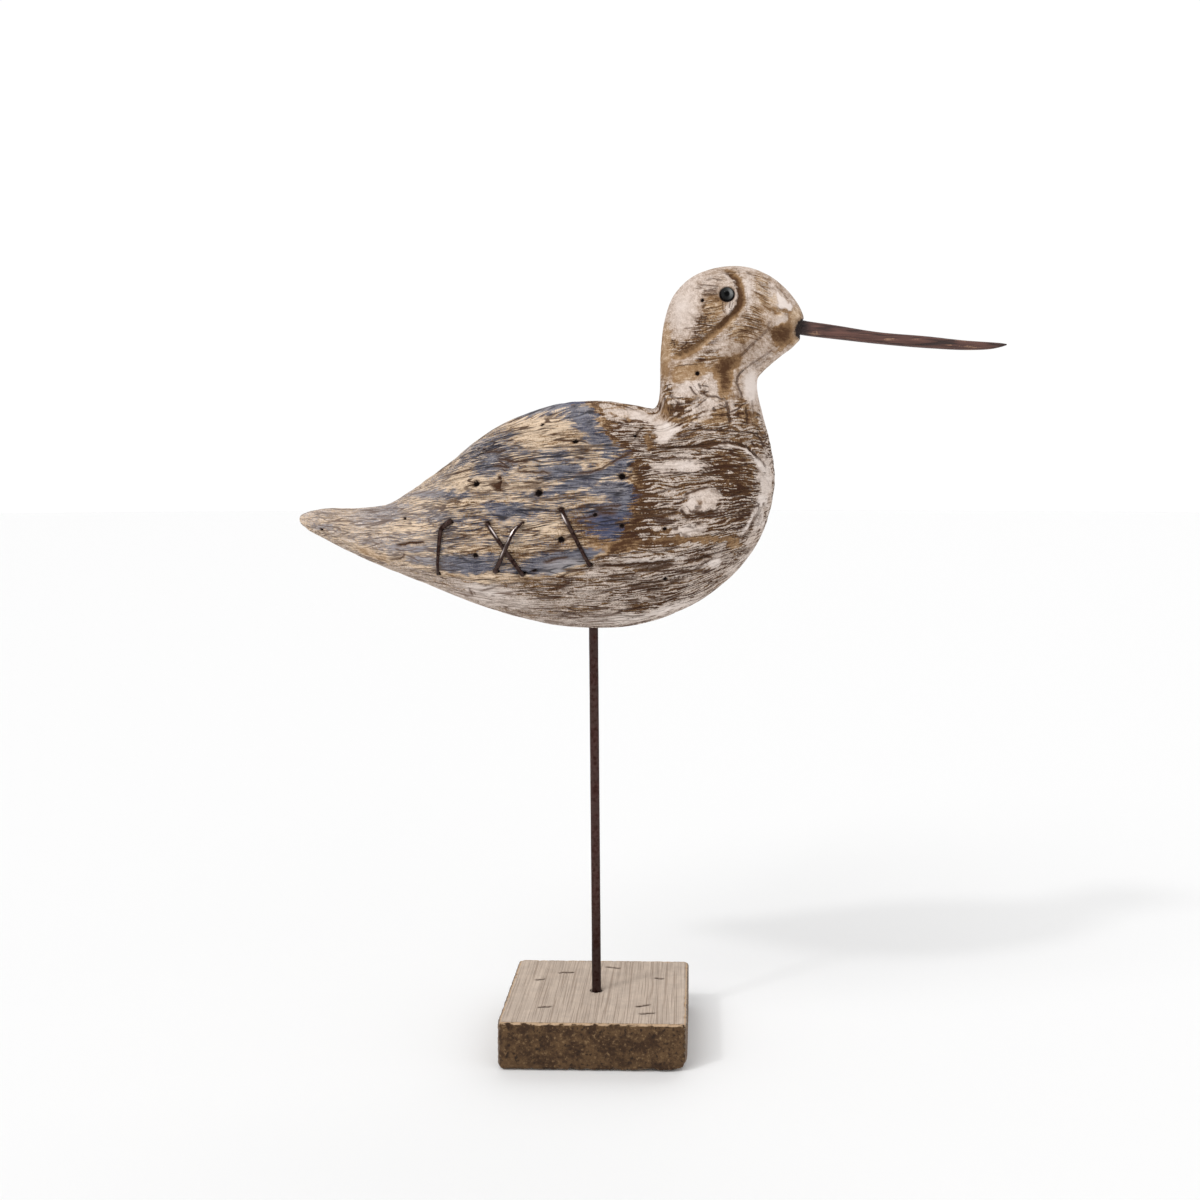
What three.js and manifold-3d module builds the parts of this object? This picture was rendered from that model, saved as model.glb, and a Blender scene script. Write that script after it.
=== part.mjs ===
// A carved wooden shorebird that stands on a thin metal rod in a square wooden base.
// Millimetres, +Z up. The origin is the centre of the base's underside. The bird faces +X,
// and the side that carries the wire stitches faces -Y.
import * as THREE from 'three';
import Module from 'manifold-3d';
import { mergeVertices } from 'three/addons/utils/BufferGeometryUtils.js';

// Driving dimensions
const TOTAL_HEIGHT = 215.9; // table to crown, 8 1/2 inches
const BIRD_HEIGHT = 99; // belly to crown
const BELLY = TOTAL_HEIGHT - BIRD_HEIGHT; // height of the belly above the table
const GAP = 0.3; // clearance between two pieces that touch

const BASE = { side: 51.2, thick: 13.1, corner: 2, socketDepth: 9 };
const ROD = { radius: 1.3, footX: -0.5, bellyX: -1, inBody: 14 };
const EYE = { x: 35.5, z: 90, radius: 1.95, sunk: 0.75 };
const BILL_SOCKET = { x: 48.7, z: 83.6, radius: 2.7 };
const GROOVE_RADIUS = 1.05; // the carved line round the cheek
const WIRE = { radius: 0.55, leg: 3 };

// The bird is measured in side view: x from the middle of the base, z up from its lowest point.
// Each rib runs from a point of the upper outline to one of the lower outline. The ribs stand
// across the body, turn about the notch behind the neck, and turn back about the throat, so
// that one row of them goes from the tail to the bill. `half` is half the width at the rib.
const RIBS = [
  { upper: [-82.8, 30.1], lower: [-82.8, 30.1], half: 0 },
  { upper: [-82.4, 31.4], lower: [-82.2, 28.6], half: 2.8 },
  { upper: [-80, 32.5], lower: [-79.4, 26.5], half: 5 },
  { upper: [-74.3, 33.4], lower: [-73, 23.2], half: 7.2 },
  { upper: [-66, 33.4], lower: [-63.4, 18.6], half: 9.8 },
  { upper: [-57.5, 34.8], lower: [-54, 14.7], half: 12.6 },
  { upper: [-50, 39.3], lower: [-44, 10.9], half: 15.6 },
  { upper: [-40.6, 46], lower: [-34, 6.8], half: 18.6 },
  { upper: [-29.4, 54.5], lower: [-22, 3.1], half: 21.2 },
  { upper: [-18.3, 59.7], lower: [-10.5, 0.7], half: 22.8 },
  { upper: [-7.2, 62.6], lower: [0, 0], half: 23.4 },
  { upper: [3, 62.8], lower: [10, 0.7], half: 23.3 },
  { upper: [10.5, 61.7], lower: [20.3, 3.6], half: 22.8 },
  { upper: [14.4, 60.8], lower: [30, 8.6], half: 21.8 },
  { upper: [15.9, 60.7], lower: [38.6, 15.7], half: 20.6 },
  { upper: [16.5, 61.4], lower: [44.5, 23.7], half: 19.4 },
  { upper: [17, 62.8], lower: [47.9, 32.3], half: 18.2 },
  { upper: [17.3, 65], lower: [49.2, 41], half: 17 },
  { upper: [17.4, 67.5], lower: [48.1, 50], half: 15.4 },
  { upper: [17.4, 70.5], lower: [45.9, 58.5], half: 13.6 },
  { upper: [17.4, 74], lower: [44.3, 65.4], half: 12.4 },
  { upper: [17.7, 78.1], lower: [44.4, 68.7], half: 12.1 },
  { upper: [18.5, 84], lower: [45.7, 70.4], half: 12.6 },
  { upper: [21, 91], lower: [47.4, 72], half: 13.4 },
  { upper: [26.1, 96.1], lower: [49.3, 73.6], half: 13.6 },
  { upper: [33, 98.6], lower: [51.1, 75], half: 13 },
  { upper: [40.5, 98.8], lower: [52.9, 76.3], half: 11.8 },
  { upper: [47, 96.5], lower: [54.4, 77.6], half: 9.9 },
  { upper: [52, 92.6], lower: [55.7, 79], half: 7.6 },
  { upper: [55.2, 88.6], lower: [56.6, 80.6], half: 4.8 },
  { upper: [56.7, 85.4], lower: [57, 82.3], half: 2 },
  { upper: [57.1, 83.8], lower: [57.1, 83.8], half: 0 },
];
const RIB_POWER = 2.2; // above 2, a rib is a little squarer than an ellipse
const STATIONS_PER_RIB = 2;
const RIB_SIDES = 36;

// The neck block sits in a step cut into the body: down the back of the notch, then forward.
const STEP = [[16, 60.9], [13.7, 55.4], [48.5, 53.4]];

// The carved line runs from the crown, in front of the eye, round the cheek to the nape.
const GROOVE = [
  [33.6, 98.1], [36.6, 96.4], [38.9, 93.2], [39.5, 89.2], [38.4, 86], [35.9, 83.4], [32, 80], [28, 76.7], [22.8, 74],
];

// Wire stitches. A route lies on the wood between the two points where the legs go in, and
// `rise` lifts its middle over a wire that it crosses.
const STITCHES = [
  { name: 'wire_stitch_rear', route: [[-41.9, 15.9], [-40.7, 23.5], [-39.9, 28.4], [-37.8, 30.1]], rise: 0 },
  { name: 'wire_stitch_cross_under', route: [[-27.4, 29.6], [-18.4, 16.3]], rise: 0 },
  { name: 'wire_stitch_cross_over', route: [[-25.6, 17], [-20.1, 28], [-17.9, 30]], rise: 1.8 },
  { name: 'wire_stitch_front', route: [[-7.7, 33.4], [-0.4, 18.8]], rise: 0 },
];

// The bill in side view: x, upper edge, lower edge and half the width, from its root in the
// socket to the tip, which turns up on the underside.
const BILL_STATIONS = [
  { x: 49.2, upper: 85.7, lower: 81.6, half: 1.9 },
  { x: 57.3, upper: 84.3, lower: 80.25, half: 1.9 },
  { x: 66, upper: 82.95, lower: 79.2, half: 1.8 },
  { x: 77, upper: 81.2, lower: 77.95, half: 1.65 },
  { x: 90, upper: 80.05, lower: 76.8, half: 1.5 },
  { x: 101, upper: 78.85, lower: 76.25, half: 1.3 },
  { x: 107.5, upper: 78.4, lower: 76.5, half: 0.95 },
  { x: 110.4, upper: 78.15, lower: 77.1, half: 0.6 },
  { x: 111.8, upper: 77.95, lower: 77.55, half: 0.25 },
];
const BILL_SIDES = 10;

// The base's outline runs in by `inset` at each height: a worn lower edge, a crisper upper one.
const BASE_EDGES = [
  { inset: 1.3, z: 0 },
  { inset: 0.45, z: 0.35 },
  { inset: 0, z: 1.3 },
  { inset: 0, z: 12.5 },
  { inset: 0.2, z: 12.9 },
  { inset: 0.6, z: 13.1 },
];
const CORNER_STEPS = 4;

const wasm = await Module();
wasm.setup();

function toSolid(geometry) {
  const bare = new THREE.BufferGeometry();
  bare.setAttribute('position', geometry.getAttribute('position').clone());
  bare.setIndex(geometry.index ? geometry.index.clone() : null);
  const merged = mergeVertices(bare, 1e-4);
  const vertProperties = new Float32Array(merged.getAttribute('position').array);
  const triVerts = new Uint32Array(merged.index.array);
  return new wasm.Manifold(new wasm.Mesh({ numProp: 3, vertProperties, triVerts }));
}

function toGeometry(solid) {
  const mesh = solid.getMesh();
  const geometry = new THREE.BufferGeometry();
  geometry.setAttribute('position', new THREE.BufferAttribute(new Float32Array(mesh.vertProperties), 3));
  geometry.setIndex(new THREE.BufferAttribute(new Uint32Array(mesh.triVerts), 1));
  geometry.computeVertexNormals();
  return geometry;
}

function cut(solid, ...cutters) {
  return cutters.reduce((rest, cutter) => rest.subtract(toSolid(cutter)), solid);
}

// A closed skin over a row of rings with the same number of points. Each end is closed by a fan
// to the ring's middle. Seen along the row, from its first ring, the points run clockwise.
function skin(rings) {
  const sides = rings[0].length;
  const middle = (ring) => ring.reduce((sum, point) => sum.add(point), new THREE.Vector3()).divideScalar(sides);
  const points = [middle(rings[0]), ...rings.flat(), middle(rings[rings.length - 1])];
  const at = (i, j) => 1 + i * sides + (j % sides);
  const end = rings.length - 1;
  const faces = [];
  for (let j = 0; j < sides; j += 1) {
    faces.push(0, at(0, j), at(0, j + 1));
    for (let i = 0; i < end; i += 1) {
      faces.push(at(i, j), at(i + 1, j), at(i + 1, j + 1));
      faces.push(at(i, j), at(i + 1, j + 1), at(i, j + 1));
    }
    faces.push(at(end, j), points.length - 1, at(end, j + 1));
  }
  const geometry = new THREE.BufferGeometry().setFromPoints(points);
  geometry.setIndex(faces);
  geometry.computeVertexNormals();
  return geometry;
}

// A round bar from one point to another.
function bar(from, to, radius, sides) {
  const along = new THREE.Vector3().subVectors(to, from);
  const turn = new THREE.Quaternion().setFromUnitVectors(new THREE.Vector3(0, 1, 0), along.clone().normalize());
  const geometry = new THREE.CylinderGeometry(radius, radius, along.length(), sides);
  geometry.applyQuaternion(turn);
  return geometry.translate((from.x + to.x) / 2, (from.y + to.y) / 2, (from.z + to.z) / 2);
}

// A round wire along a curve.
function tube(curve, radius, sides, steps) {
  const section = new THREE.Shape();
  for (let i = 0; i < sides; i += 1) {
    const angle = (2 * Math.PI * i) / sides;
    section[i === 0 ? 'moveTo' : 'lineTo'](radius * Math.cos(angle), radius * Math.sin(angle));
  }
  section.closePath();
  return new THREE.ExtrudeGeometry(section, { steps, bevelEnabled: false, extrudePath: curve });
}

function curveThrough(points) {
  return new THREE.CatmullRomCurve3(points, false, 'centripetal');
}

// The bird's wood before the cuts. A ring goes round each rib, from the upper outline down one
// side and back up the other.
const upperLine = new THREE.CatmullRomCurve3(RIBS.map(({ upper: [x, z] }) => new THREE.Vector3(x, 0, z)));
const lowerLine = new THREE.CatmullRomCurve3(RIBS.map(({ lower: [x, z] }) => new THREE.Vector3(x, 0, z)));
const halfWidth = new THREE.CatmullRomCurve3(RIBS.map(({ half }, i) => new THREE.Vector3(i, half, 0)));

function squaredWave(value) {
  return Math.sign(value) * Math.abs(value) ** (2 / RIB_POWER);
}

function ribRing(t) {
  const ring = [];
  for (let j = 0; j < RIB_SIDES; j += 1) {
    const angle = (2 * Math.PI * j) / RIB_SIDES;
    const down = (1 - squaredWave(Math.cos(angle))) / 2;
    const point = upperLine.getPoint(t).lerp(lowerLine.getPoint(t), down);
    point.y = halfWidth.getPoint(t).y * squaredWave(Math.sin(angle));
    ring.push(point);
  }
  return ring;
}

function uncutBird() {
  const stations = (RIBS.length - 1) * STATIONS_PER_RIB;
  const rings = [];
  for (let i = 0; i < stations; i += 1) {
    rings.push(ribRing((i + 0.5) / stations));
  }
  return skin(rings);
}

const blank = uncutBird();
const blankMesh = new THREE.Mesh(blank, new THREE.MeshStandardMaterial({ side: THREE.DoubleSide }));

// The point of the carved surface at x and z in side view, on the side -1 (stitched) or +1.
function onSurface([x, z], side) {
  const ray = new THREE.Raycaster(new THREE.Vector3(x, side * 60, z), new THREE.Vector3(0, -side, 0));
  return ray.intersectObject(blankMesh)[0].point;
}

// Everything above the step, as a block across the bird. `shift` moves it back and down.
function neckSpace(shift) {
  const shape = new THREE.Shape();
  const outline = [...STEP, [70, 52], [70, 110], [5, 110], [5, 75]];
  outline.forEach(([x, z], i) => shape[i === 0 ? 'moveTo' : 'lineTo'](x - shift, z - shift));
  shape.closePath();
  const depth = 80;
  const geometry = new THREE.ExtrudeGeometry(shape, { depth, bevelEnabled: false });
  return geometry.rotateX(Math.PI / 2).translate(0, depth / 2, 0);
}

function grooveCutter(side) {
  return tube(curveThrough(GROOVE.map((place) => onSurface(place, side))), GROOVE_RADIUS, 6, 26);
}

function eyeBall(side, radius) {
  const { x, y, z } = onSurface([EYE.x, EYE.z], side);
  return new THREE.SphereGeometry(radius, 14, 10).translate(x, y - side * EYE.sunk, z);
}

// The drilled recess that the bill's root is set in, along the bill.
function billSocket() {
  const inner = new THREE.Vector3(BILL_SOCKET.x, 0, BILL_SOCKET.z);
  const outer = new THREE.Vector3(BILL_SOCKET.x + 12, 0, BILL_SOCKET.z - 1.8);
  return bar(inner, outer, BILL_SOCKET.radius, 14);
}

function billRing({ x, upper, lower, half }) {
  const ring = [];
  for (let j = 0; j < BILL_SIDES; j += 1) {
    const angle = (2 * Math.PI * (j + 0.5)) / BILL_SIDES;
    const z = (upper + lower) / 2 + ((upper - lower) / 2) * Math.cos(angle);
    ring.push(new THREE.Vector3(x, half * Math.sin(angle), z));
  }
  return ring;
}

// The rod, from the bottom of its socket in the base to the top of its hole in the body. It
// leans back by half a millimetre. `spare` makes it longer and wider, for its holes.
function rodGeometry(spare) {
  const lean = (ROD.bellyX - ROD.footX) / (BELLY - BASE.thick);
  const onRod = (z) => new THREE.Vector3(ROD.footX + lean * (z - BASE.thick), 0, z);
  const foot = onRod(BASE.thick - BASE.socketDepth + GAP - spare);
  const top = onRod(BELLY + ROD.inBody + spare);
  return bar(foot, top, ROD.radius + spare, 16);
}

// A stitch: two legs pushed straight into the wood, joined by a run that follows the surface.
function stitchGeometry({ route, rise }) {
  const lift = WIRE.radius + GAP + 0.15;
  const runSteps = 8;
  const flat = curveThrough(route.map(([x, z]) => new THREE.Vector3(x, 0, z)));
  const points = flat.getSpacedPoints(runSteps).map(({ x, z }, i) => {
    const point = onSurface([x, z], -1);
    point.y -= lift + rise * Math.exp(-(((i / runSteps - 0.5) / 0.16) ** 2));
    return point;
  });
  const first = points.shift();
  const last = points.pop();
  const deep = (point, depth) => new THREE.Vector3(point.x, point.y + depth, point.z);
  const run = [deep(first, WIRE.radius), ...points, deep(last, WIRE.radius)];
  const curve = curveThrough([deep(first, lift + WIRE.leg), ...run, deep(last, lift + WIRE.leg)]);
  return tube(curve, WIRE.radius, 7, 24);
}

function legHole(place) {
  const { x, y, z } = onSurface(place, -1);
  const outer = new THREE.Vector3(x, y - 2, z);
  const inner = new THREE.Vector3(x, y + WIRE.leg + GAP, z);
  return bar(outer, inner, WIRE.radius + GAP, 7);
}

// A square outline with rounded corners, moved in from the base's sides by `inset`.
function baseRing({ inset, z }) {
  const middle = BASE.side / 2 - BASE.corner;
  const radius = BASE.corner - inset;
  const ring = [];
  for (let corner = 0; corner < 4; corner += 1) {
    const turn = (-corner * Math.PI) / 2;
    const centre = new THREE.Vector3(middle, middle, z).applyAxisAngle(new THREE.Vector3(0, 0, 1), turn);
    for (let i = 0; i <= CORNER_STEPS; i += 1) {
      const angle = turn + ((CORNER_STEPS - i) * Math.PI) / 2 / CORNER_STEPS;
      ring.push(new THREE.Vector3(centre.x + radius * Math.cos(angle), centre.y + radius * Math.sin(angle), z));
    }
  }
  return ring;
}

const PAINTED_WOOD = new THREE.MeshStandardMaterial({ color: 0x8b8478, roughness: 0.85 });
const WHITEWASHED_WOOD = new THREE.MeshStandardMaterial({ color: 0xcabfae, roughness: 0.85 });
const STAINED_WOOD = new THREE.MeshStandardMaterial({ color: 0x4a2f26, roughness: 0.6 });
const SAWN_WOOD = new THREE.MeshStandardMaterial({ color: 0x8d7a63, roughness: 0.9 });
const BLACK_GLASS = new THREE.MeshStandardMaterial({ color: 0x0d0d10, roughness: 0.1 });
const ROD_STEEL = new THREE.MeshStandardMaterial({ color: 0x33221f, roughness: 0.45, metalness: 0.6 });
const WIRE_STEEL = new THREE.MeshStandardMaterial({ color: 0x2b2326, roughness: 0.6, metalness: 0.6 });

function piece(name, geometry, material) {
  const mesh = new THREE.Mesh(geometry, material);
  mesh.name = name;
  return mesh;
}

// The bird's pieces are made with z from the belly, so their group stands at the belly's height.
const bird = new THREE.Group();
bird.position.z = BELLY;

const legHoles = STITCHES.flatMap(({ route }) => [legHole(route[0]), legHole(route[route.length - 1])]);
const rodHole = rodGeometry(GAP).translate(0, 0, -BELLY);
const bodySolid = cut(toSolid(blank), neckSpace(GAP), rodHole, ...legHoles);
bird.add(piece('body', toGeometry(bodySolid), PAINTED_WOOD));

const neckBlock = toSolid(blank).intersect(toSolid(neckSpace(0)));
const eyeSockets = [-1, 1].map((side) => eyeBall(side, EYE.radius + GAP));
const headSolid = cut(neckBlock, billSocket(), grooveCutter(-1), grooveCutter(1), ...eyeSockets);
bird.add(piece('head_and_neck', toGeometry(headSolid), WHITEWASHED_WOOD));

bird.add(piece('bill', skin(BILL_STATIONS.map(billRing)), STAINED_WOOD));
bird.add(piece('eye_right', eyeBall(-1, EYE.radius), BLACK_GLASS));
bird.add(piece('eye_left', eyeBall(1, EYE.radius), BLACK_GLASS));
for (const stitch of STITCHES) {
  bird.add(piece(stitch.name, stitchGeometry(stitch), WIRE_STEEL));
}

const baseSolid = cut(toSolid(skin(BASE_EDGES.map(baseRing))), rodGeometry(GAP));

const object = new THREE.Group();
object.add(bird);
object.add(piece('rod', rodGeometry(0), ROD_STEEL));
object.add(piece('base', toGeometry(baseSolid), SAWN_WOOD));

export default object;
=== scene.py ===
from math import pi, radians

import bpy
import numpy as np
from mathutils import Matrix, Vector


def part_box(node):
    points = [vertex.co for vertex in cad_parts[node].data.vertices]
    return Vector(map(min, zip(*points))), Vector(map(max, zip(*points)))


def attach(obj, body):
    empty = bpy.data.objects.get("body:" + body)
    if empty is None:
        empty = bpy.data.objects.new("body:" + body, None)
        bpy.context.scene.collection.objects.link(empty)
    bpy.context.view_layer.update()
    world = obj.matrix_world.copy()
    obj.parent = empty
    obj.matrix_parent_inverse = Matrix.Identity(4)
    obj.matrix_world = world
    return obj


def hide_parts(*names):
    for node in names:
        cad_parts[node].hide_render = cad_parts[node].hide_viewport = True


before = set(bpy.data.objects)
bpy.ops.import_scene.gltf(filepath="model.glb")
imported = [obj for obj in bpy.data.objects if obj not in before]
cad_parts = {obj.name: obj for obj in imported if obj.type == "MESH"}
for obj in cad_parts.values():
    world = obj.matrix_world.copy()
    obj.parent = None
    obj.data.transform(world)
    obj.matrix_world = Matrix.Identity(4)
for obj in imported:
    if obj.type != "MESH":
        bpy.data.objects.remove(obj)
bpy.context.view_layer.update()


# The base: a sawn square of softwood with its grain from front to back, so that its front and
# back show rough, darkened end grain. The lower edges are rubbed round, the upper ones are crisp
# and pale with wear, and a hole for the rod is drilled in the middle.
MM = 0.001
base_high = np.array(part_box("base")[1]) / MM
BASE_HALF = base_high[0]
BASE_THICK = base_high[2]
BASE_CORNER = 2.0
BASE_FOOT_ROUND = 1.3
BASE_TOP_ROUND = 0.6
BASE_GRID = 112
BASE_GRID_UP = 34
HOLE_RADIUS = 1.5
HOLE_X = -0.5
HOLE_DEPTH = 3.0
CORNERS_OF_A_CELL = [(i, j, k) for i in (0, 1) for j in (0, 1) for k in (0, 1)]
CELL_SLOPES = np.array(
    [(1, 1, 0), (-1, 1, 0), (1, -1, 0), (-1, -1, 0), (1, 0, 1), (-1, 0, 1), (1, 0, -1), (-1, 0, -1),
     (0, 1, 1), (0, -1, 1), (0, 1, -1), (0, -1, -1), (1, 1, 0), (-1, 1, 0), (0, -1, 1), (0, -1, -1)], float
)


def field(points, seed):
    """A smooth random field, mostly between -1 and 1. Every whole-number place has one of 16 slopes, picked
    by a hash of its numbers; in between, the eight slopes around blend by 6t^5 - 15t^4 + 10t^3."""
    cell = np.floor(points).astype(np.int64)
    local = points - cell
    blend = local**3 * (local * (local * 6 - 15) + 10)
    total = np.zeros(points.shape[:-1])
    for corner in CORNERS_OF_A_CELL:
        x, y, z = np.moveaxis(cell + corner, -1, 0)
        mixed = (x * 374761393 + y * 668265263 + z * 1440662683 + seed * 974634777) & 0xFFFFFFFF
        mixed = ((mixed ^ (mixed >> 13)) * 1274126177) & 0xFFFFFFFF
        slope = CELL_SLOPES[(mixed ^ (mixed >> 16)) & 15]
        weight = np.where(np.array(corner) == 1, blend, 1 - blend).prod(-1)
        total += weight * ((local - corner) * slope).sum(-1)
    return total * 1.5


def layered(points, seed, layers=3):
    """Random fields added up, each half the size and a little over half the strength of the one before."""
    return sum(0.55**i * field(points * 2.0**i, seed + i) for i in range(layers))


def soft_step(low, high, value):
    """0 at low, 1 at high and 3t^2 - 2t^3 between them, whichever of the two is the larger."""
    t = np.clip((value - low) / (high - low), 0, 1)
    return t * t * (3 - 2 * t)


def grid_quads(rows, columns, wrap=False):
    """Quads between neighbours on a grid numbered row by row; wrap joins the last column to the first."""
    number = np.arange(rows * columns).reshape(rows, columns)
    if wrap:
        number = np.hstack([number, number[:, :1]])
    corners = (number[:-1, :-1], number[1:, :-1], number[1:, 1:], number[:-1, 1:])
    return np.stack([corner.ravel() for corner in corners], -1)


def make_piece(name, points, quads, material, **fields):
    """An object from points in millimetres and quads of point numbers, with each field on its points. Points
    that fall together are joined, and a quad that loses a corner becomes a triangle. The faces are turned
    out: the sum of a . (b x c) over the triangles, six times the volume, has to be positive."""
    _, kept, joined = np.unique(np.round(points, 4), axis=0, return_index=True, return_inverse=True)
    points = points[kept]
    quads = joined.reshape(-1)[quads]
    a, b, c, d = (points[quads[:, i]] for i in range(4))
    if (np.cross(b, c) * a).sum() + (np.cross(c, d) * a).sum() < 0:
        quads = quads[:, ::-1]
    corners = quads != np.roll(quads, -1, axis=1)
    whole = corners.sum(1) > 2
    quads, corners = quads[whole], corners[whole]
    counts = corners.sum(1)
    mesh = bpy.data.meshes.new(name)
    mesh.vertices.add(len(points))
    mesh.vertices.foreach_set("co", (points * MM).ravel())
    mesh.loops.add(int(counts.sum()))
    mesh.loops.foreach_set("vertex_index", quads[corners])
    mesh.polygons.add(len(counts))
    mesh.polygons.foreach_set("loop_start", np.cumsum(counts) - counts)
    mesh.update(calc_edges=True)
    mesh.shade_smooth()
    mesh.set_sharp_from_angle(angle=radians(60))
    for label, values in fields.items():
        kind, key = ("FLOAT", "value") if values.ndim == 1 else ("FLOAT_VECTOR", "vector")
        layer = mesh.attributes.new(label, kind, "POINT")
        layer.data.foreach_set(key, np.ascontiguousarray(values[kept], np.float32).ravel())
    mesh.materials.append(material)
    made = bpy.data.objects.new(name, mesh)
    bpy.context.scene.collection.objects.link(made)
    return made


def ring_piece(name, rings, material, **fields):
    """An object from rings of points, one after the other, with each point joined to the next on its own ring
    and to its like on the next ring."""
    flat = {label: values.reshape(-1, *values.shape[2:]) for label, values in fields.items()}
    return make_piece(name, rings.reshape(-1, 3), grid_quads(*rings.shape[:2], True), material, **flat)


def light(red, green, blue):
    """The light a screen colour (0 to 255) stands for: v / 12.92 if dark, or ((v + 0.055) / 1.055)^2.4."""
    value = np.array([red, green, blue]) / 255
    return (*np.where(value < 0.04045, value / 12.92, ((value + 0.055) / 1.055) ** 2.4), 1.0)


class Value:
    """What a shader socket gives. Each sum, difference or product with it places one node of arithmetic."""

    def __init__(self, socket):
        self.socket = socket
        self.tree = socket.id_data

    def __add__(self, other):
        return place(self.tree, "Math", {0: self, 1: other}, operation="ADD")

    def __sub__(self, other):
        return place(self.tree, "Math", {0: self, 1: other}, operation="SUBTRACT")

    def __rsub__(self, other):
        return place(self.tree, "Math", {0: other, 1: self}, operation="SUBTRACT")

    def __mul__(self, other):
        return place(self.tree, "Math", {0: self, 1: other}, operation="MULTIPLY")

    def __abs__(self):
        return place(self.tree, "Math", {0: self}, operation="ABSOLUTE")


def place(tree, kind, inputs, output=0, **settings):
    """Adds a shader node and gives one of its outputs. An input that is a value is linked, and anything else
    is stored on it."""
    made = tree.nodes.new("ShaderNode" + kind)
    for key, setting in settings.items():
        setattr(made, key, setting)
    for key, given in inputs.items():
        if isinstance(given, Value):
            tree.links.new(given.socket, made.inputs[key])
        else:
            made.inputs[key].default_value = given
    return Value(made.outputs[output]) if made.outputs else None


def larger(a, b):
    """The larger of two values."""
    return place(a.tree, "Math", {0: a, 1: b}, operation="MAXIMUM")


def rise(value, low, high):
    """0 at low, 1 at high, and smooth between."""
    inputs = {"Value": value, "From Min": low, "From Max": high}
    return place(value.tree, "MapRange", inputs, interpolation_type="SMOOTHSTEP")


def over(mask, under, top):
    """The colour under, covered by the colour top where the mask is 1."""
    return place(mask.tree, "Mix", {0: mask, 6: under, 7: top}, 2, data_type="RGBA")


def noise(vector, scale, detail, roughness=0.5):
    """Cloudy noise between 0 and 1."""
    inputs = {"Vector": vector, "Scale": scale, "Detail": detail, "Roughness": roughness}
    return place(vector.tree, "TexNoise", inputs)


def stretched(vector, rates):
    """A place whose three numbers are multiplied by three rates."""
    return place(vector.tree, "VectorMath", {0: vector, 1: rates}, operation="MULTIPLY")


def bumped(height, strength, distance):
    """The direction of the skin, tilted by a height."""
    return place(height.tree, "Bump", {"Height": height, "Strength": strength, "Distance": distance})


def new_group(name, **inputs):
    """A shader node group whose inputs have these labels and kinds: its tree, and what comes in by each."""
    group = bpy.data.node_groups.new(name, "ShaderNodeTree")
    for label, kind in inputs.items():
        group.interface.new_socket(name=label, in_out="INPUT", socket_type="NodeSocket" + kind)
    sockets = group.nodes.new("NodeGroupInput").outputs
    return group, *(Value(sockets[label]) for label in inputs)


def close_group(group, **results):
    """Gives a group its outputs."""
    for label in results:
        group.interface.new_socket(name=label, in_out="OUTPUT", socket_type="NodeSocketFloat")
    end = group.nodes.new("NodeGroupOutput")
    for label, value in results.items():
        group.links.new(value.socket, end.inputs[label])
    return group


def use_group(tree, group, **given):
    """Places a shared group with its own values and gives all its outputs."""
    first = place(tree, "Group", given, node_tree=group)
    return [Value(socket) for socket in first.socket.node.outputs]


def new_material(name):
    """An empty material and its tree."""
    material = bpy.data.materials.new(name)
    material.use_nodes = True
    material.node_tree.nodes.clear()
    return material, material.node_tree


def finish_material(material, inputs):
    """Gives a material its one shader with everything that goes into it."""
    shader = place(material.node_tree, "BsdfPrincipled", inputs)
    place(material.node_tree, "OutputMaterial", {"Surface": shader})
    return material


def stored(tree, label):
    """What the mesh stores on its points under a label."""
    return place(tree, "Attribute", {}, "Vector" if label == "grain" else "Fac", attribute_name=label)


def build_open_grain():
    """Weathered grain from a place in the wood (millimetres along and across the grain): long lumps of noise
    on waves across the grain, sin(2 pi c + sway), c the waves passed, and fine hairs over both. Along and
    Across are the number of lumps a millimetre, and Waver the bend of the lines in millimetres. Height is
    between 0 in the furrows and 1 on the ridges, Furrow the dark bottoms, Grit a fine even noise, and Split
    the thin open lines, where a drawn out noise passes one half, kept in stretches."""
    group, grain, along, across, waver = new_group(
        "open grain", Grain="Vector", Along="Float", Across="Float", Waver="Float"
    )
    slow = {"Vector": stretched(grain, (0.08, 0.2, 0.2)), "Scale": 1.0, "Detail": 1.0}
    bends = {0: place(group, "TexNoise", slow, 1), 1: (0.5, 0.5, 0.5)}
    centred = place(group, "VectorMath", bends, operation="SUBTRACT")
    push = place(group, "VectorMath", {0: centred, "Scale": waver}, operation="SCALE")
    bent = place(group, "VectorMath", {0: grain, 1: push}, operation="ADD")
    drawn = stretched(bent, place(group, "CombineXYZ", {0: along, 1: across, 2: across}))
    passed = place(group, "SeparateXYZ", {0: drawn}, 1)
    sway = noise(drawn, 0.6, 0.0) * 14.0
    waves = place(group, "Math", {0: passed * (2 * pi) + sway}, operation="SINE")
    lumps = noise(drawn, 1.0, 2.0, 0.55) - 0.5
    hairs = noise(stretched(drawn, (2.0, 3.0, 3.0)), 1.0, 1.0) - 0.5
    height = waves * 0.21 + lumps * 1.35 + 0.5 + hairs * 0.6
    crossing = abs(noise(stretched(drawn, (0.4, 1.0, 1.0)), 0.8, 0.0) - 0.5)
    kept = rise(noise(drawn, 0.41, 1.0), 0.48, 0.58)
    grit = rise(noise(grain, 2.6, 3.0, 0.6), 0.25, 0.75)
    split = rise(crossing, 0.08, 0.03) * kept
    return close_group(group, Height=height, Furrow=rise(height, 0.36, 0.14), Grit=grit, Split=split)


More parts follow.
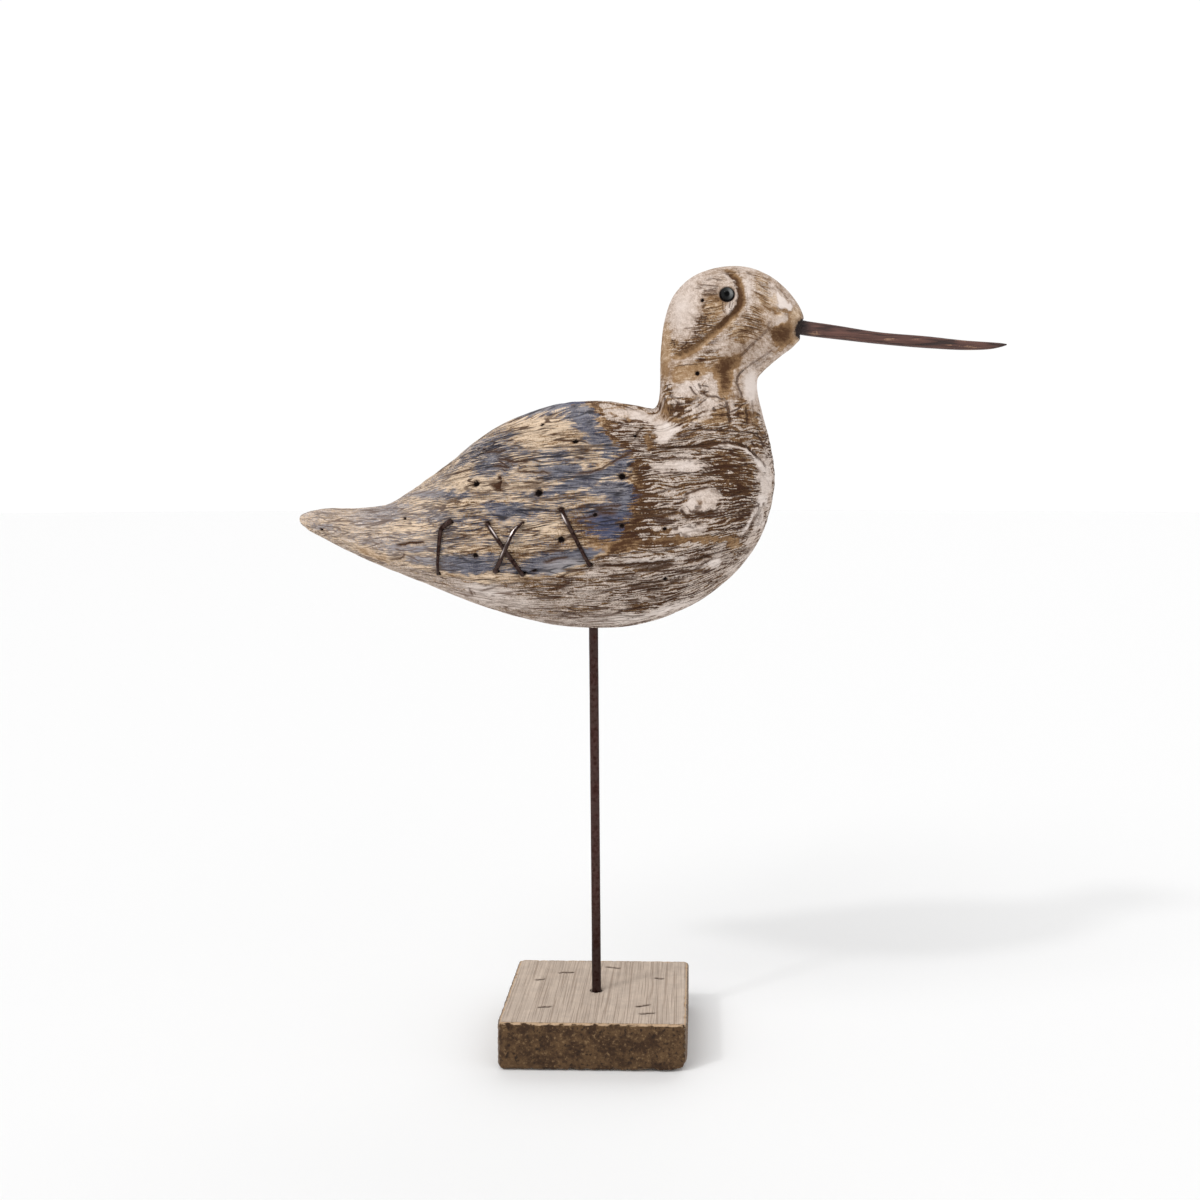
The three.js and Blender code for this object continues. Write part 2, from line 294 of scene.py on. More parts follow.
def build_worn_coat():
    """How much of a thin coat is left: its amount, made ragged by the ridges and the grit, and cut off at one
    half, sharply where Soft is small and as an even gradient where Soft is 0.5."""
    labels = ("Amount", "Ridge", "Grit", "Ragged", "Soft")
    group, amount, ridge, grit, ragged, soft = new_group("worn coat", **dict.fromkeys(labels, "Float"))
    torn = (ridge * 0.65 + grit * 0.35 - 0.5) * ragged
    return close_group(group, Mask=rise(amount + torn, 0.5 - soft, soft + 0.5))


def worn(amount, ridge, grit, ragged, soft):
    """What is left of a coat, by the shared group."""
    given = {"Amount": amount, "Ridge": ridge, "Grit": grit, "Ragged": ragged, "Soft": soft}
    return use_group(amount.tree, WORN_COAT, **given)[0]


OPEN_GRAIN = build_open_grain()
WORN_COAT = build_worn_coat()


def base_point(cube):
    """A point of a cube (-1 to 1) moved to the base's skin. Seen from above, a ring of the cube becomes a
    square whose corners are quarter circles; its sides move in near the floor by r - sqrt(r^2 - (r - z)^2),
    and near the top by the same rule."""
    z = BASE_THICK * (cube[..., 2] + 1) / 2
    foot = np.clip(1 - z / BASE_FOOT_ROUND, 0, 1)
    top = np.clip(1 - (BASE_THICK - z) / BASE_TOP_ROUND, 0, 1)
    inset = BASE_FOOT_ROUND * (1 - np.sqrt(1 - foot**2)) + BASE_TOP_ROUND * (1 - np.sqrt(1 - top**2))
    flat = cube[..., :2]
    ring = np.maximum(np.abs(flat).max(-1), 1e-9)[..., None]
    square = flat / ring * (BASE_HALF - inset[..., None])
    middle = np.clip(square, BASE_CORNER - BASE_HALF, BASE_HALF - BASE_CORNER)
    off = square - middle
    length = np.maximum(np.linalg.norm(off, axis=-1, keepdims=True), 1e-9)
    outline = middle + off / length * (BASE_CORNER - inset[..., None])
    return np.concatenate([outline * ring, z[..., None]], -1)


def base_surface():
    """The six faces of the cube as grids, with rows crowded towards the upper and lower edges."""
    across = np.linspace(-1, 1, BASE_GRID)
    even = np.linspace(0, 1, BASE_GRID_UP)
    upright = 2 * (0.45 * even + 0.55 * (0.5 - 0.5 * np.cos(pi * even))) - 1
    points, quads = [], []
    for axis in range(3):
        first, second = (upright if i == 2 else across for i in range(3) if i != axis)
        u, v = np.meshgrid(first, second, indexing="ij")
        for end in (-1, 1):
            sheet = [u, v]
            sheet.insert(axis, np.full(u.shape, end))
            turned = grid_quads(*u.shape)[:, :: (end if axis != 1 else -end)]
            quads.append(turned + sum(map(len, points)))
            points.append(base_point(np.stack(sheet, -1)).reshape(-1, 3))
    return np.concatenate(points), np.concatenate(quads)


def bell(*offsets):
    """A soft hump: exp(-(a^2 + b^2 + ...)) of the offsets, 1 where all of them are 0."""
    return np.exp(-sum(offset**2 for offset in offsets))


def beside(x, z, route):
    """The distance in a flat view from every place to a line through the route's points, below zero on its
    right hand, and how far along the line, from 0 to 1, its nearest point lies."""
    route = np.asarray(route, float)
    lengths = np.linalg.norm(np.diff(route, axis=0), axis=1)
    run = np.concatenate([[0], np.cumsum(lengths)])
    nearest, side, along = np.full(x.shape, 1e9), np.zeros(x.shape), np.zeros(x.shape)
    for (x0, z0), (x1, z1), length, before in zip(route[:-1], route[1:], lengths, run):
        t = np.clip(((x - x0) * (x1 - x0) + (z - z0) * (z1 - z0)) / length**2, 0, 1)
        gap = np.hypot(x - x0 - t * (x1 - x0), z - z0 - t * (z1 - z0))
        closer = gap < nearest
        nearest = np.where(closer, gap, nearest)
        side = np.where(closer, (x1 - x0) * (z - z0) - (z1 - z0) * (x - x0), side)
        along = np.where(closer, (before + t * length) / run[-1], along)
    return nearest * np.where(side < 0, -1, 1), along


# Short nicks in the top, as pairs of ends seen from above, and scratches on the front in side view.
TOP_NICKS = [
    [(-18.6, 8.2), (-16.6, 8.8)], [(-12.3, 14.4), (-11, 14.9)], [(-10.4, 14.6), (-8.6, 14.8)],
    [(1.2, 19.9), (4.8, 18.9)], [(16.1, 10.8), (18, 10.2)], [(-15.4, -13.4), (-12.4, -12.8)],
    [(11.6, -12.2), (14.7, -10.8)], [(12.8, -17.5), (16.2, -16.9)],
]
FRONT_SCRATCHES = [
    [(-4.8, 4.2), (-1.4, 2.8), (3.4, 1.2), (6.2, 0.5)], [(8.8, 9.2), (12.6, 5.6)],
    [(-19, 4.4), (-12, 3.6), (-5, 3.6)],
]
base_points, base_quads = base_surface()
x, y, z = base_points.T
inner_low = np.array([BASE_FOOT_ROUND - BASE_HALF] * 2 + [BASE_FOOT_ROUND])
inner_high = np.array([BASE_HALF - BASE_FOOT_ROUND] * 2 + [BASE_THICK - BASE_TOP_ROUND])
base_out = base_points - np.clip(base_points, inner_low, inner_high)
base_out /= np.maximum(np.linalg.norm(base_out, axis=1, keepdims=True), 1e-9)
on_top = soft_step(0.5, 0.9, base_out[:, 2])
on_end = soft_step(0.5, 0.8, np.abs(base_out[:, 1]))
edge = 1 - soft_step(0.72, 0.97, np.abs(base_out).max(1))
combed = layered(base_points * (0.9, 0.05, 0.9), 3)
rough = layered(base_points * 0.75, 5)
chips = soft_step(0.15, 0.7, layered(base_points * (0.45, 0.45, 0.8), 8))
on_front = soft_step(1.5 - BASE_HALF, 0.8 - BASE_HALF, y)
nick = sum(bell(beside(x, y, route)[0] / 0.4) for route in TOP_NICKS) * on_top
scratch = sum(bell(beside(x, z, route)[0] / 0.3) for route in FRONT_SCRATCHES) * on_front
worn_corner = bell((x - BASE_HALF) / 3.2, (z - 0.6) / 1.7, (y + BASE_HALF) / 9)
lifted_foot = bell((x - 15.6) / 1.6, z / 0.7, (y + BASE_HALF) / 3)
base_cut = 0.08 + 0.05 * combed * on_top + 0.16 * np.clip(rough, -0.4, 1.2) * (1 - on_top)
base_cut += 0.55 * edge * chips + 0.4 * nick + 0.25 * scratch + 1.1 * worn_corner + 0.5 * lifted_foot
brink = soft_step(0.95, 0.3, np.hypot(BASE_THICK - z, BASE_HALF - np.abs(y)))
brink = brink * (0.55 + 0.15 * soft_step(5, 20, x) + 0.4 * layered(base_points * (0.5, 1, 1), 9))
hole = soft_step(HOLE_RADIUS + 0.2, HOLE_RADIUS - 0.1, np.hypot(x - HOLE_X, y)) * on_top
base_points = base_points - base_out * (np.maximum(base_cut, 0.01) + HOLE_DEPTH * hole)[:, None]
base_points[:, 2] = np.maximum(base_points[:, 2], 0)


def build_sawn_wood():
    """Greyed softwood: fine straight pale and dark lines on top, dark flecked end grain, pale worn edges."""
    material, tree = new_material("sawn grey softwood")
    ridge, furrow, *_ = use_group(
        tree, OPEN_GRAIN, Grain=stored(tree, "grain"), Along=0.035, Across=1.5, Waver=0.25
    )
    end, worn_off, soil = (stored(tree, label) for label in ("end", "worn", "soil"))
    spot = place(tree, "TexCoord", {}, "Object")
    clouds = noise(spot, 260.0, 3.0, 0.65)
    flecks = noise(spot, 950.0, 4.0, 0.75)
    top = over(ridge, light(172, 154, 139), light(203, 186, 170))
    top = over(rise(clouds, 0.6, 0.4) * 0.3, top, light(160, 146, 134))
    top = over(furrow * 0.3, top, light(134, 114, 98))
    dark = over(rise(clouds, 0.38, 0.62), light(60, 41, 26), light(90, 67, 44))
    dark = over(rise(flecks, 0.54, 0.7), dark, light(130, 104, 74))
    dark = over(rise(flecks, 0.46, 0.36), dark, light(42, 29, 20))
    # The pale colour of the worn edges.
    rubbed = over(flecks, light(150, 120, 92), light(214, 186, 154))
    wood = over(worn(worn_off, clouds, flecks, 1.1, 0.16), over(end, top, dark), rubbed)
    heights = {0: end, 2: ridge * 0.25 - furrow * 0.25, 3: (flecks + clouds) * 0.9}
    return finish_material(material, {
        # Darkened where the mesh says: painted shade in the rod's hole, darker nicks and scratches.
        "Base Color": over(soil, wood, light(58, 40, 28)),
        "Roughness": 0.92 - ridge * 0.12,
        "Normal": bumped(place(tree, "Mix", heights), 0.8, 0.0003),
        "Specular IOR Level": 0.25,
    })


pale_edge = edge * (0.3 + 0.5 * soft_step(BASE_THICK - 2, BASE_THICK, z))
base = make_piece(
    "base_block", base_points, base_quads, build_sawn_wood(),
    grain=np.stack([base_points[:, 1], base_points[:, 0], base_points[:, 2]], -1),
    end=soft_step(0.35, 0.65, on_end + 0.55 * (1 - on_top) * (1 - on_end)),
    worn=np.maximum(pale_edge, brink) + 0.3 * chips * edge,
    # The hole for the rod is painted dark as shade; the nicks and the scratches are darkened.
    soil=np.clip(1.9 * nick + 0.4 * scratch + hole, 0, 1),
)
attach(base, "root")
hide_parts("base")


# The rod: a straight length of darkened steel, about the thickness of a knitting needle. It is
# pressed into the base and into a hole in the belly, and leans back by half a millimetre.
rod_low, rod_high = (np.array(corner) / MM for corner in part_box("rod"))
ROD_RADIUS = rod_high[1]
ROD_SIDES = 40
ROD_RINGS = 200


def carry_round(route, radius, square_to, sides):
    """A round section carried along a route: at each point a ring of that radius, r cos(a) and r sin(a)
    along two directions square to the route, the first of them also square to square_to. Gives the rings and
    their outward directions."""
    along = np.gradient(route, axis=0)
    first = np.cross(along, square_to)
    first /= np.linalg.norm(first, axis=1, keepdims=True)
    second = np.cross(along, first)
    second /= np.linalg.norm(second, axis=1, keepdims=True)
    turn = np.linspace(0, 2 * pi, sides, endpoint=False)[None, :, None]
    ring = np.cos(turn) * first[:, None] + np.sin(turn) * second[:, None]
    return route[:, None] + ring * np.asarray(radius)[:, None, None], ring


def round_ends(count, rings, radius):
    """The radius of each of count rings: full in the middle, and r sqrt(1 - u^2) over the last few rings at
    both ends."""
    away = np.minimum(np.arange(count), np.arange(count)[::-1]) / rings
    return radius * np.sqrt(1 - np.clip(1 - away, 0, 1) ** 2)


def build_burnt_steel(name, shade, sheen, shine):
    """Dark heated steel: brown to mauve flecks, small dull spots of rust in clouds, darker where a stored
    field says so, and a near-white painted highlight where another stored field says so."""
    material, tree = new_material(name)
    spot = place(tree, "TexCoord", {}, "Object")
    flecks = noise(spot, 900.0, 3.0, 0.65)
    rust = worn(noise(spot, 240.0, 3.0, 0.6), flecks, flecks, 0.8, 0.12)
    colour = over(rise(flecks, 0.3, 0.7), shade, sheen)
    colour = over(rust * 0.5, colour, light(58, 36, 26))
    # Darker where the mesh says so.
    colour = over(stored(tree, "soil"), colour, light(42, 20, 15))
    return finish_material(material, {
        # A near-white highlight, painted where the mesh asks for it.
        "Base Color": over(stored(tree, "rubbed") * rise(flecks, 0.32, 0.5), colour, light(244, 230, 226)),
        "Roughness": rust * 0.25 + shine,
        "Metallic": 0.9 - rust * 0.5,
        "Normal": bumped(flecks, 0.5, 0.00006),
    })


rod_foot = np.array([rod_high[0] - ROD_RADIUS, 0, rod_low[2]])
rod_top = np.array([rod_low[0] + ROD_RADIUS, 0, rod_high[2]])
rod_route = rod_foot + (rod_top - rod_foot) * np.linspace(0, 1, ROD_RINGS)[:, None]
rod_points, rod_out = carry_round(rod_route, round_ends(ROD_RINGS, 3, ROD_RADIUS), (0, 1, 0), ROD_SIDES)
rod_points = rod_points - rod_out * (0.02 + 0.02 * field(rod_points * (0.9, 0.9, 0.12), 91))[..., None]
rod = ring_piece(
    "stand_rod", rod_points, build_burnt_steel("burnt rod steel", light(50, 26, 20), light(80, 54, 51), 0.4),
    # Darker towards its foot.
    soil=0.75 * soft_step(46, 22, rod_points[..., 2]),
)
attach(rod, "root")
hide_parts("rod")


# The body: one block of softwood, carved to a shorebird's body and left to weather. The wings
# and back keep worn blue-grey paint, and breast and belly a flaking white wash. Small holes and
# cracks are all over it. A step is cut into its shoulder for the neck block.
BELLY = 116.9
# Each rib goes from a point of the upper outline to one of the lower, x and z from the belly.
UPPER_LINE = [
    (-82.8, 30.1), (-82.4, 31.4), (-80, 32.5), (-74.3, 33.4), (-66, 33.4), (-57.5, 34.8), (-50, 39.3),
    (-40.6, 46), (-29.4, 54.5), (-18.3, 59.7), (-7.2, 62.6), (3, 62.8), (10.5, 61.7), (14.4, 60.8),
    (15.9, 60.7), (16.5, 61.4), (17, 62.8), (17.3, 65), (17.4, 67.5), (17.4, 70.5), (17.4, 74),
    (17.7, 78.1), (18.5, 84), (21, 91), (26.1, 96.1), (33, 98.6), (40.5, 98.8), (47, 96.5), (52, 92.6),
    (55.2, 88.6), (56.7, 85.4), (57.1, 83.8),
]
LOWER_LINE = [
    (-82.8, 30.1), (-82.2, 28.6), (-79.4, 26.5), (-73, 23.2), (-63.4, 18.6), (-54, 14.7), (-44, 10.9),
    (-34, 6.8), (-22, 3.1), (-10.5, 0.7), (0, 0), (10, 0.7), (20.3, 3.6), (30, 8.6), (38.6, 15.7),
    (44.5, 23.7), (47.9, 32.3), (49.2, 41), (48.1, 50), (45.9, 58.5), (44.3, 65.4), (44.4, 68.7),
    (45.7, 70.4), (47.4, 72), (49.3, 73.6), (51.1, 75), (52.9, 76.3), (54.4, 77.6), (55.7, 79),
    (56.6, 80.6), (57, 82.3), (57.1, 83.8),
]
HALF_WIDTHS = [
    0, 2.8, 5, 7.2, 9.8, 12.6, 15.6, 18.6, 21.2, 22.8, 23.4, 23.3, 22.8, 21.8, 20.6, 19.4, 18.2, 17, 15.4,
    13.6, 12.4, 12.1, 12.6, 13.4, 13.6, 13, 11.8, 9.9, 7.6, 4.8, 2, 0,
]
RIB_POWER = 2.2
LAST_RIB = len(HALF_WIDTHS) - 1
STEP_TOP, STEP_HEEL, STEP_FRONT = (16, 60.9), (13.7, 55.4), (48.5, 53.4)
STEP_BEHIND = (5, 75)
JOINT_RIBS = (8.0, 20.0)
RIBS_TRIED = 3000
BODY_ROWS, BODY_COLUMNS = 170, 560
NARROWEST_CUT = 0.45
KNOT = (29.3, 35.4)


def curve_through(knots):
    """A smooth line through points, as a function of the knot number. Between two knots it is a cubic whose
    slope at each of them weighs the chords by the square roots of their lengths, as the solid's lines are."""
    knots = np.asarray(knots, float)
    points = np.vstack([2 * knots[0] - knots[1], knots, 2 * knots[-1] - knots[-2]])
    gaps = (np.diff(points, axis=0) ** 2).sum(1) ** 0.25

    def at(step):
        i = np.clip(np.floor(step).astype(int), 0, len(knots) - 2)
        w = (step - i)[..., None]
        p0, p1, p2, p3 = (points[i + k] for k in range(4))
        d0, d1, d2 = (gaps[i + k][..., None] for k in range(3))
        leave = ((p1 - p0) / d0 - (p2 - p0) / (d0 + d1) + (p2 - p1) / d1) * d1
        arrive = ((p2 - p1) / d1 - (p3 - p1) / (d1 + d2) + (p3 - p2) / d2) * d1
        bend = 3 * (p2 - p1) - 2 * leave - arrive
        return p1 + w * (leave + w * (bend + w * (2 * (p1 - p2) + leave + arrive)))

    return at


upper_line = curve_through(UPPER_LINE)
lower_line = curve_through(LOWER_LINE)
width_line = curve_through(list(enumerate(HALF_WIDTHS)))


def squared(value, power=RIB_POWER):
    """A wave made fuller at its flanks: sign(v) |v|^(2 / power)."""
    return np.sign(value) * np.abs(value) ** (2 / power)


def carved_skin(step, turn):
    """The skin of the whole bird before the joint: at rib number step, a point w(cos(turn)) half ribs up from
    the rib's middle, and w(sin(turn)) half widths to the side, where w is squared()."""
    upper, lower = upper_line(step), lower_line(step)
    middle = upper + (lower - upper) * ((1 - squared(np.cos(turn))) / 2)[..., None]
    side = width_line(step)[..., 1] * squared(np.sin(turn))
    return np.stack([middle[..., 0], side, middle[..., 1]], -1)


def past_line(x, z, start, end):
    """How far a place in side view lies to the left of a line, seen from its start."""
    dx, dz = end[0] - start[0], end[1] - start[1]
    return (dx * (z - start[1]) - dz * (x - start[0])) / np.hypot(dx, dz)


def in_neck_block(points):
    """Above 0 in the neck block: over the step's floor, and before its wall or over the line behind it."""
    x, z = points[..., 0], points[..., 2]
    in_front = np.maximum(past_line(x, z, STEP_TOP, STEP_HEEL), past_line(x, z, STEP_BEHIND, STEP_TOP))
    return np.minimum(past_line(x, z, STEP_HEEL, STEP_FRONT), in_front)


def joint_step(turn):
    """The rib number at which the skin crosses the joint, found by halving the stretch that holds it."""
    low, high = (np.full(turn.shape, rib) for rib in JOINT_RIBS)
    for _ in range(30):
        middle = (low + high) / 2
        inside = in_neck_block(carved_skin(middle, turn)) > 0
        low, high = np.where(inside, low, middle), np.where(inside, middle, high)
    return (low + high) / 2


def carved_grid(rows, columns, start, stop, places, reach=2.4):
    """A grid on the skin, from rib number start(turn) to stop(turn). Round each place its lines are drawn
    together: a point at distance d goes to d (d / reach)^0.6, so that a small hole gets enough points."""
    row, column = np.meshgrid(np.arange(rows + 1.0), np.arange(float(columns)), indexing="ij")

    def on_skin(row, column):
        turn = 2 * pi * column / columns
        return carved_skin(start(turn) + (stop(turn) - start(turn)) * row / rows, turn)

    points = on_skin(row, column)
    moved_row, moved_column = row.copy(), column.copy()
    for spot in places:
        r, c = np.unravel_index(np.linalg.norm(points[1:-1] - spot, axis=-1).argmin(), (rows - 1, columns))
        r += 1
        by_row = (points[r + 1, c] - points[r - 1, c]) / 2
        by_column = (points[r, (c + 1) % columns] - points[r, c - 1]) / 2
        offset = np.linalg.lstsq(np.stack([by_row, by_column], -1), spot - points[r, c], rcond=None)[0]
        rows_off = row - r - offset[0]
        columns_off = (column - c - offset[1] + columns / 2) % columns - columns / 2
        gap = np.linalg.norm(rows_off[..., None] * by_row + columns_off[..., None] * by_column, axis=-1)
        pull = np.minimum(gap / reach, 1) ** 0.6 - 1
        moved_row += rows_off * pull
        moved_column += columns_off * pull
    return on_skin(np.clip(moved_row, 0, rows), moved_column)


def outward(points):
    """Directions square to a ring grid: the cross product of its steps along rows and round the ring."""
    across = np.roll(points, -1, axis=1) - np.roll(points, 1, axis=1)
    normal = np.cross(np.gradient(points, axis=0), across)
    normal /= np.maximum(np.linalg.norm(normal, axis=-1, keepdims=True), 1e-9)
    return normal * np.sign((normal * (points - points.mean((0, 1)))).sum())


def close_joint(edge, columns=8):
    """The flat face of the joint: straight lines across the bird, from each point of the edge's first half to
    its mirror image, as a grid of points. Edge points run from the top, down one side and back up."""
    half = len(edge) // 2
    first = edge[: half + 1]
    second = edge[(-np.arange(half + 1)) % len(edge)]
    share = np.linspace(0, 1, columns + 1)[None, :, None]
    return first[:, None] * (1 - share) + second[:, None] * share


def touches(x, z, marks):
    """Soft oval marks added up: each has its middle, half length, half height, slope and strength, and is
    strength * exp(-(u^2 + v^2)^2), u along it and v across it."""
    total = np.zeros(x.shape)
    for mark_x, mark_z, length, height, slope, strength in marks:
        u = (x - mark_x) / length
        v = (z - mark_z - slope * (x - mark_x)) / height
        total += strength * bell(u**2 + v**2)
    return total


def patches(x, z, marks):
    """Soft patches with straight sides added up: each has its corners, counterclockwise and bulging, the
    softness of its edge in millimetres, and its strength. It is full where every side is that far off."""
    total = np.zeros(x.shape)
    for corners, soft, strength in marks:
        sides = zip(corners, corners[1:] + corners[:1])
        inside = np.min([past_line(x, z, start, end) for start, end in sides], axis=0)
        total += strength * soft_step(-soft, soft, inside)
    return total


def carved_lines(x, z, lines, seen):
    """Thin cut or cracked lines, each with a route, half a width, a depth and a darkness: how deep they cut,
    depth * exp(-(gap / width)^2), then the signed gap to the nearest in widths, and its darkness. All of it
    fades towards both ends of a line. A cut is at least as wide as the grid can show."""
    cut, nearest, power = np.zeros(x.shape), np.full(x.shape, 9.0), np.zeros(x.shape)
    for route, width, depth, darkness in lines:
        gap, along = beside(x, z, route)
        fade = soft_step(0, 0.15, along) * soft_step(1, 0.85, along) * seen
        cut = np.maximum(cut, depth * fade * bell(gap / max(width, NARROWEST_CUT)))
        closer = np.abs(gap / width) < np.abs(nearest)
        nearest = np.where(closer, gap / width, nearest)
        power = np.where(closer, darkness * fade * soft_step(6, 4, np.abs(gap / width)), power)
    return cut, nearest, power


def pricks(points, holes):
    """Small round holes, each with a place on the skin and a radius: how deep they go, 1.6 radii in full
    within half the radius, and the distance to the nearest in radii."""
    depth, nearest = np.zeros(points.shape[:-1]), np.full(points.shape[:-1], 4.0)
    for *spot, radius in holes:
        gap = np.linalg.norm(points - spot, axis=-1) / radius
        depth = np.maximum(depth, 1.6 * radius * soft_step(1.15, 0.5, gap))
        nearest = np.minimum(nearest, gap)
    return depth, nearest


BREAST_RING = [
    (15.6, 49.3), (18.5, 49.6), (22, 50), (26, 50.1), (30, 50.3), (32.5, 50.8), (35, 51), (38, 50.9),
    (41, 49.9), (43.5, 47.8), (45.6, 45.4),
]
# The body's half width and the height of its widest line, by length.
GIRTH = np.array([
    (-83, 0, 29), (-74, 7.3, 28.2), (-62, 10.8, 26), (-50, 14.8, 25.8), (-38, 18.6, 27.4), (-26, 21.3, 29.4),
    (-14, 22.9, 30.3), (-2, 23.4, 31), (10, 23.2, 31), (22, 22, 31.5), (28, 20.9, 32.2), (34, 19.3, 34.8),
    (40, 16.8, 38.5), (46, 12.1, 42.5), (49, 7, 42.5),
])


def body_grain(x, y, z):
    """The place in the body's grain, in millimetres: along it, across it, and a third of y. Across, the skin
    counts as unrolled from its widest line, 0.62 mm for every millimetre it turns inwards. The lines rise a
    little to the front, draw together below the ring on the breast by 1 - 0.36 u^2, u growing to the front,
    and bend round the knot."""
    wide, middle = (np.interp(x, GIRTH[:, 0], GIRTH[:, column]) for column in (1, 2))
    turned_in = 0.62 * np.clip(wide - np.abs(y), 0, None) * soft_step(64, 54, z) * soft_step(54, 32, x)
    rolled = z + np.sign(z - middle) * turned_in
    u = np.clip((x - 18) / 31, 0, None) * soft_step(0.8, -0.4, beside(x, z, BREAST_RING)[0])
    across = 38 + (rolled - 38) / (1 - 0.36 * u**2) - 0.06 * x
    dx, dz = (x - KNOT[0]) / 2.6, z - KNOT[1]
    across = across - dz * 1.6 / (dx**2 + dz**2 + 3.2)
    return np.stack([x + 0.15 * z, across, 0.35 * y], -1)


BODY_HOLES = [
    (-30.9, -18.2, 40.3, 0.95), (-13.8, -22.4, 37.8, 1.0), (-4.3, -18.9, 51.4, 0.7),
    (-13.5, -13.9, 56, 0.6), (-29.5, -12.8, 49.6, 0.5), (8.2, -22.2, 42.2, 0.9), (-7.8, -23, 25.5, 0.95),
    (-31, -19.2, 21.1, 0.75), (8.2, -23.1, 29.2, 0.65), (1.2, -23.4, 32.1, 0.6), (11.4, -17.3, 52.9, 0.55),
    (-51, -13.3, 30.9, 0.4), (-75.3, -6.4, 27.4, 0.4), (19.4, -18.4, 14.9, 0.65),
    (-15.2, -20.7, 17.2, 0.5), (19.4, -22.2, 28.4, 0.5), (-24, 17.9, 46, 0.8), (-9, 22.6, 35, 0.9),
    (2, 20.5, 47.5, 0.7), (-38, 16.2, 33, 0.75), (12, 22.4, 33, 0.8), (-20, 19.3, 18.5, 0.7),
    (26, 20.2, 25, 0.6), (-55, 12.6, 27.5, 0.5), (5, 15, 10, 0.6), (-17, 9, 57.2, 0.5),
]
BREAST_FOLD = [(45.4, 34.6), (43.6, 31), (42, 28.2), (40.6, 26.2), (39, 24.6)]
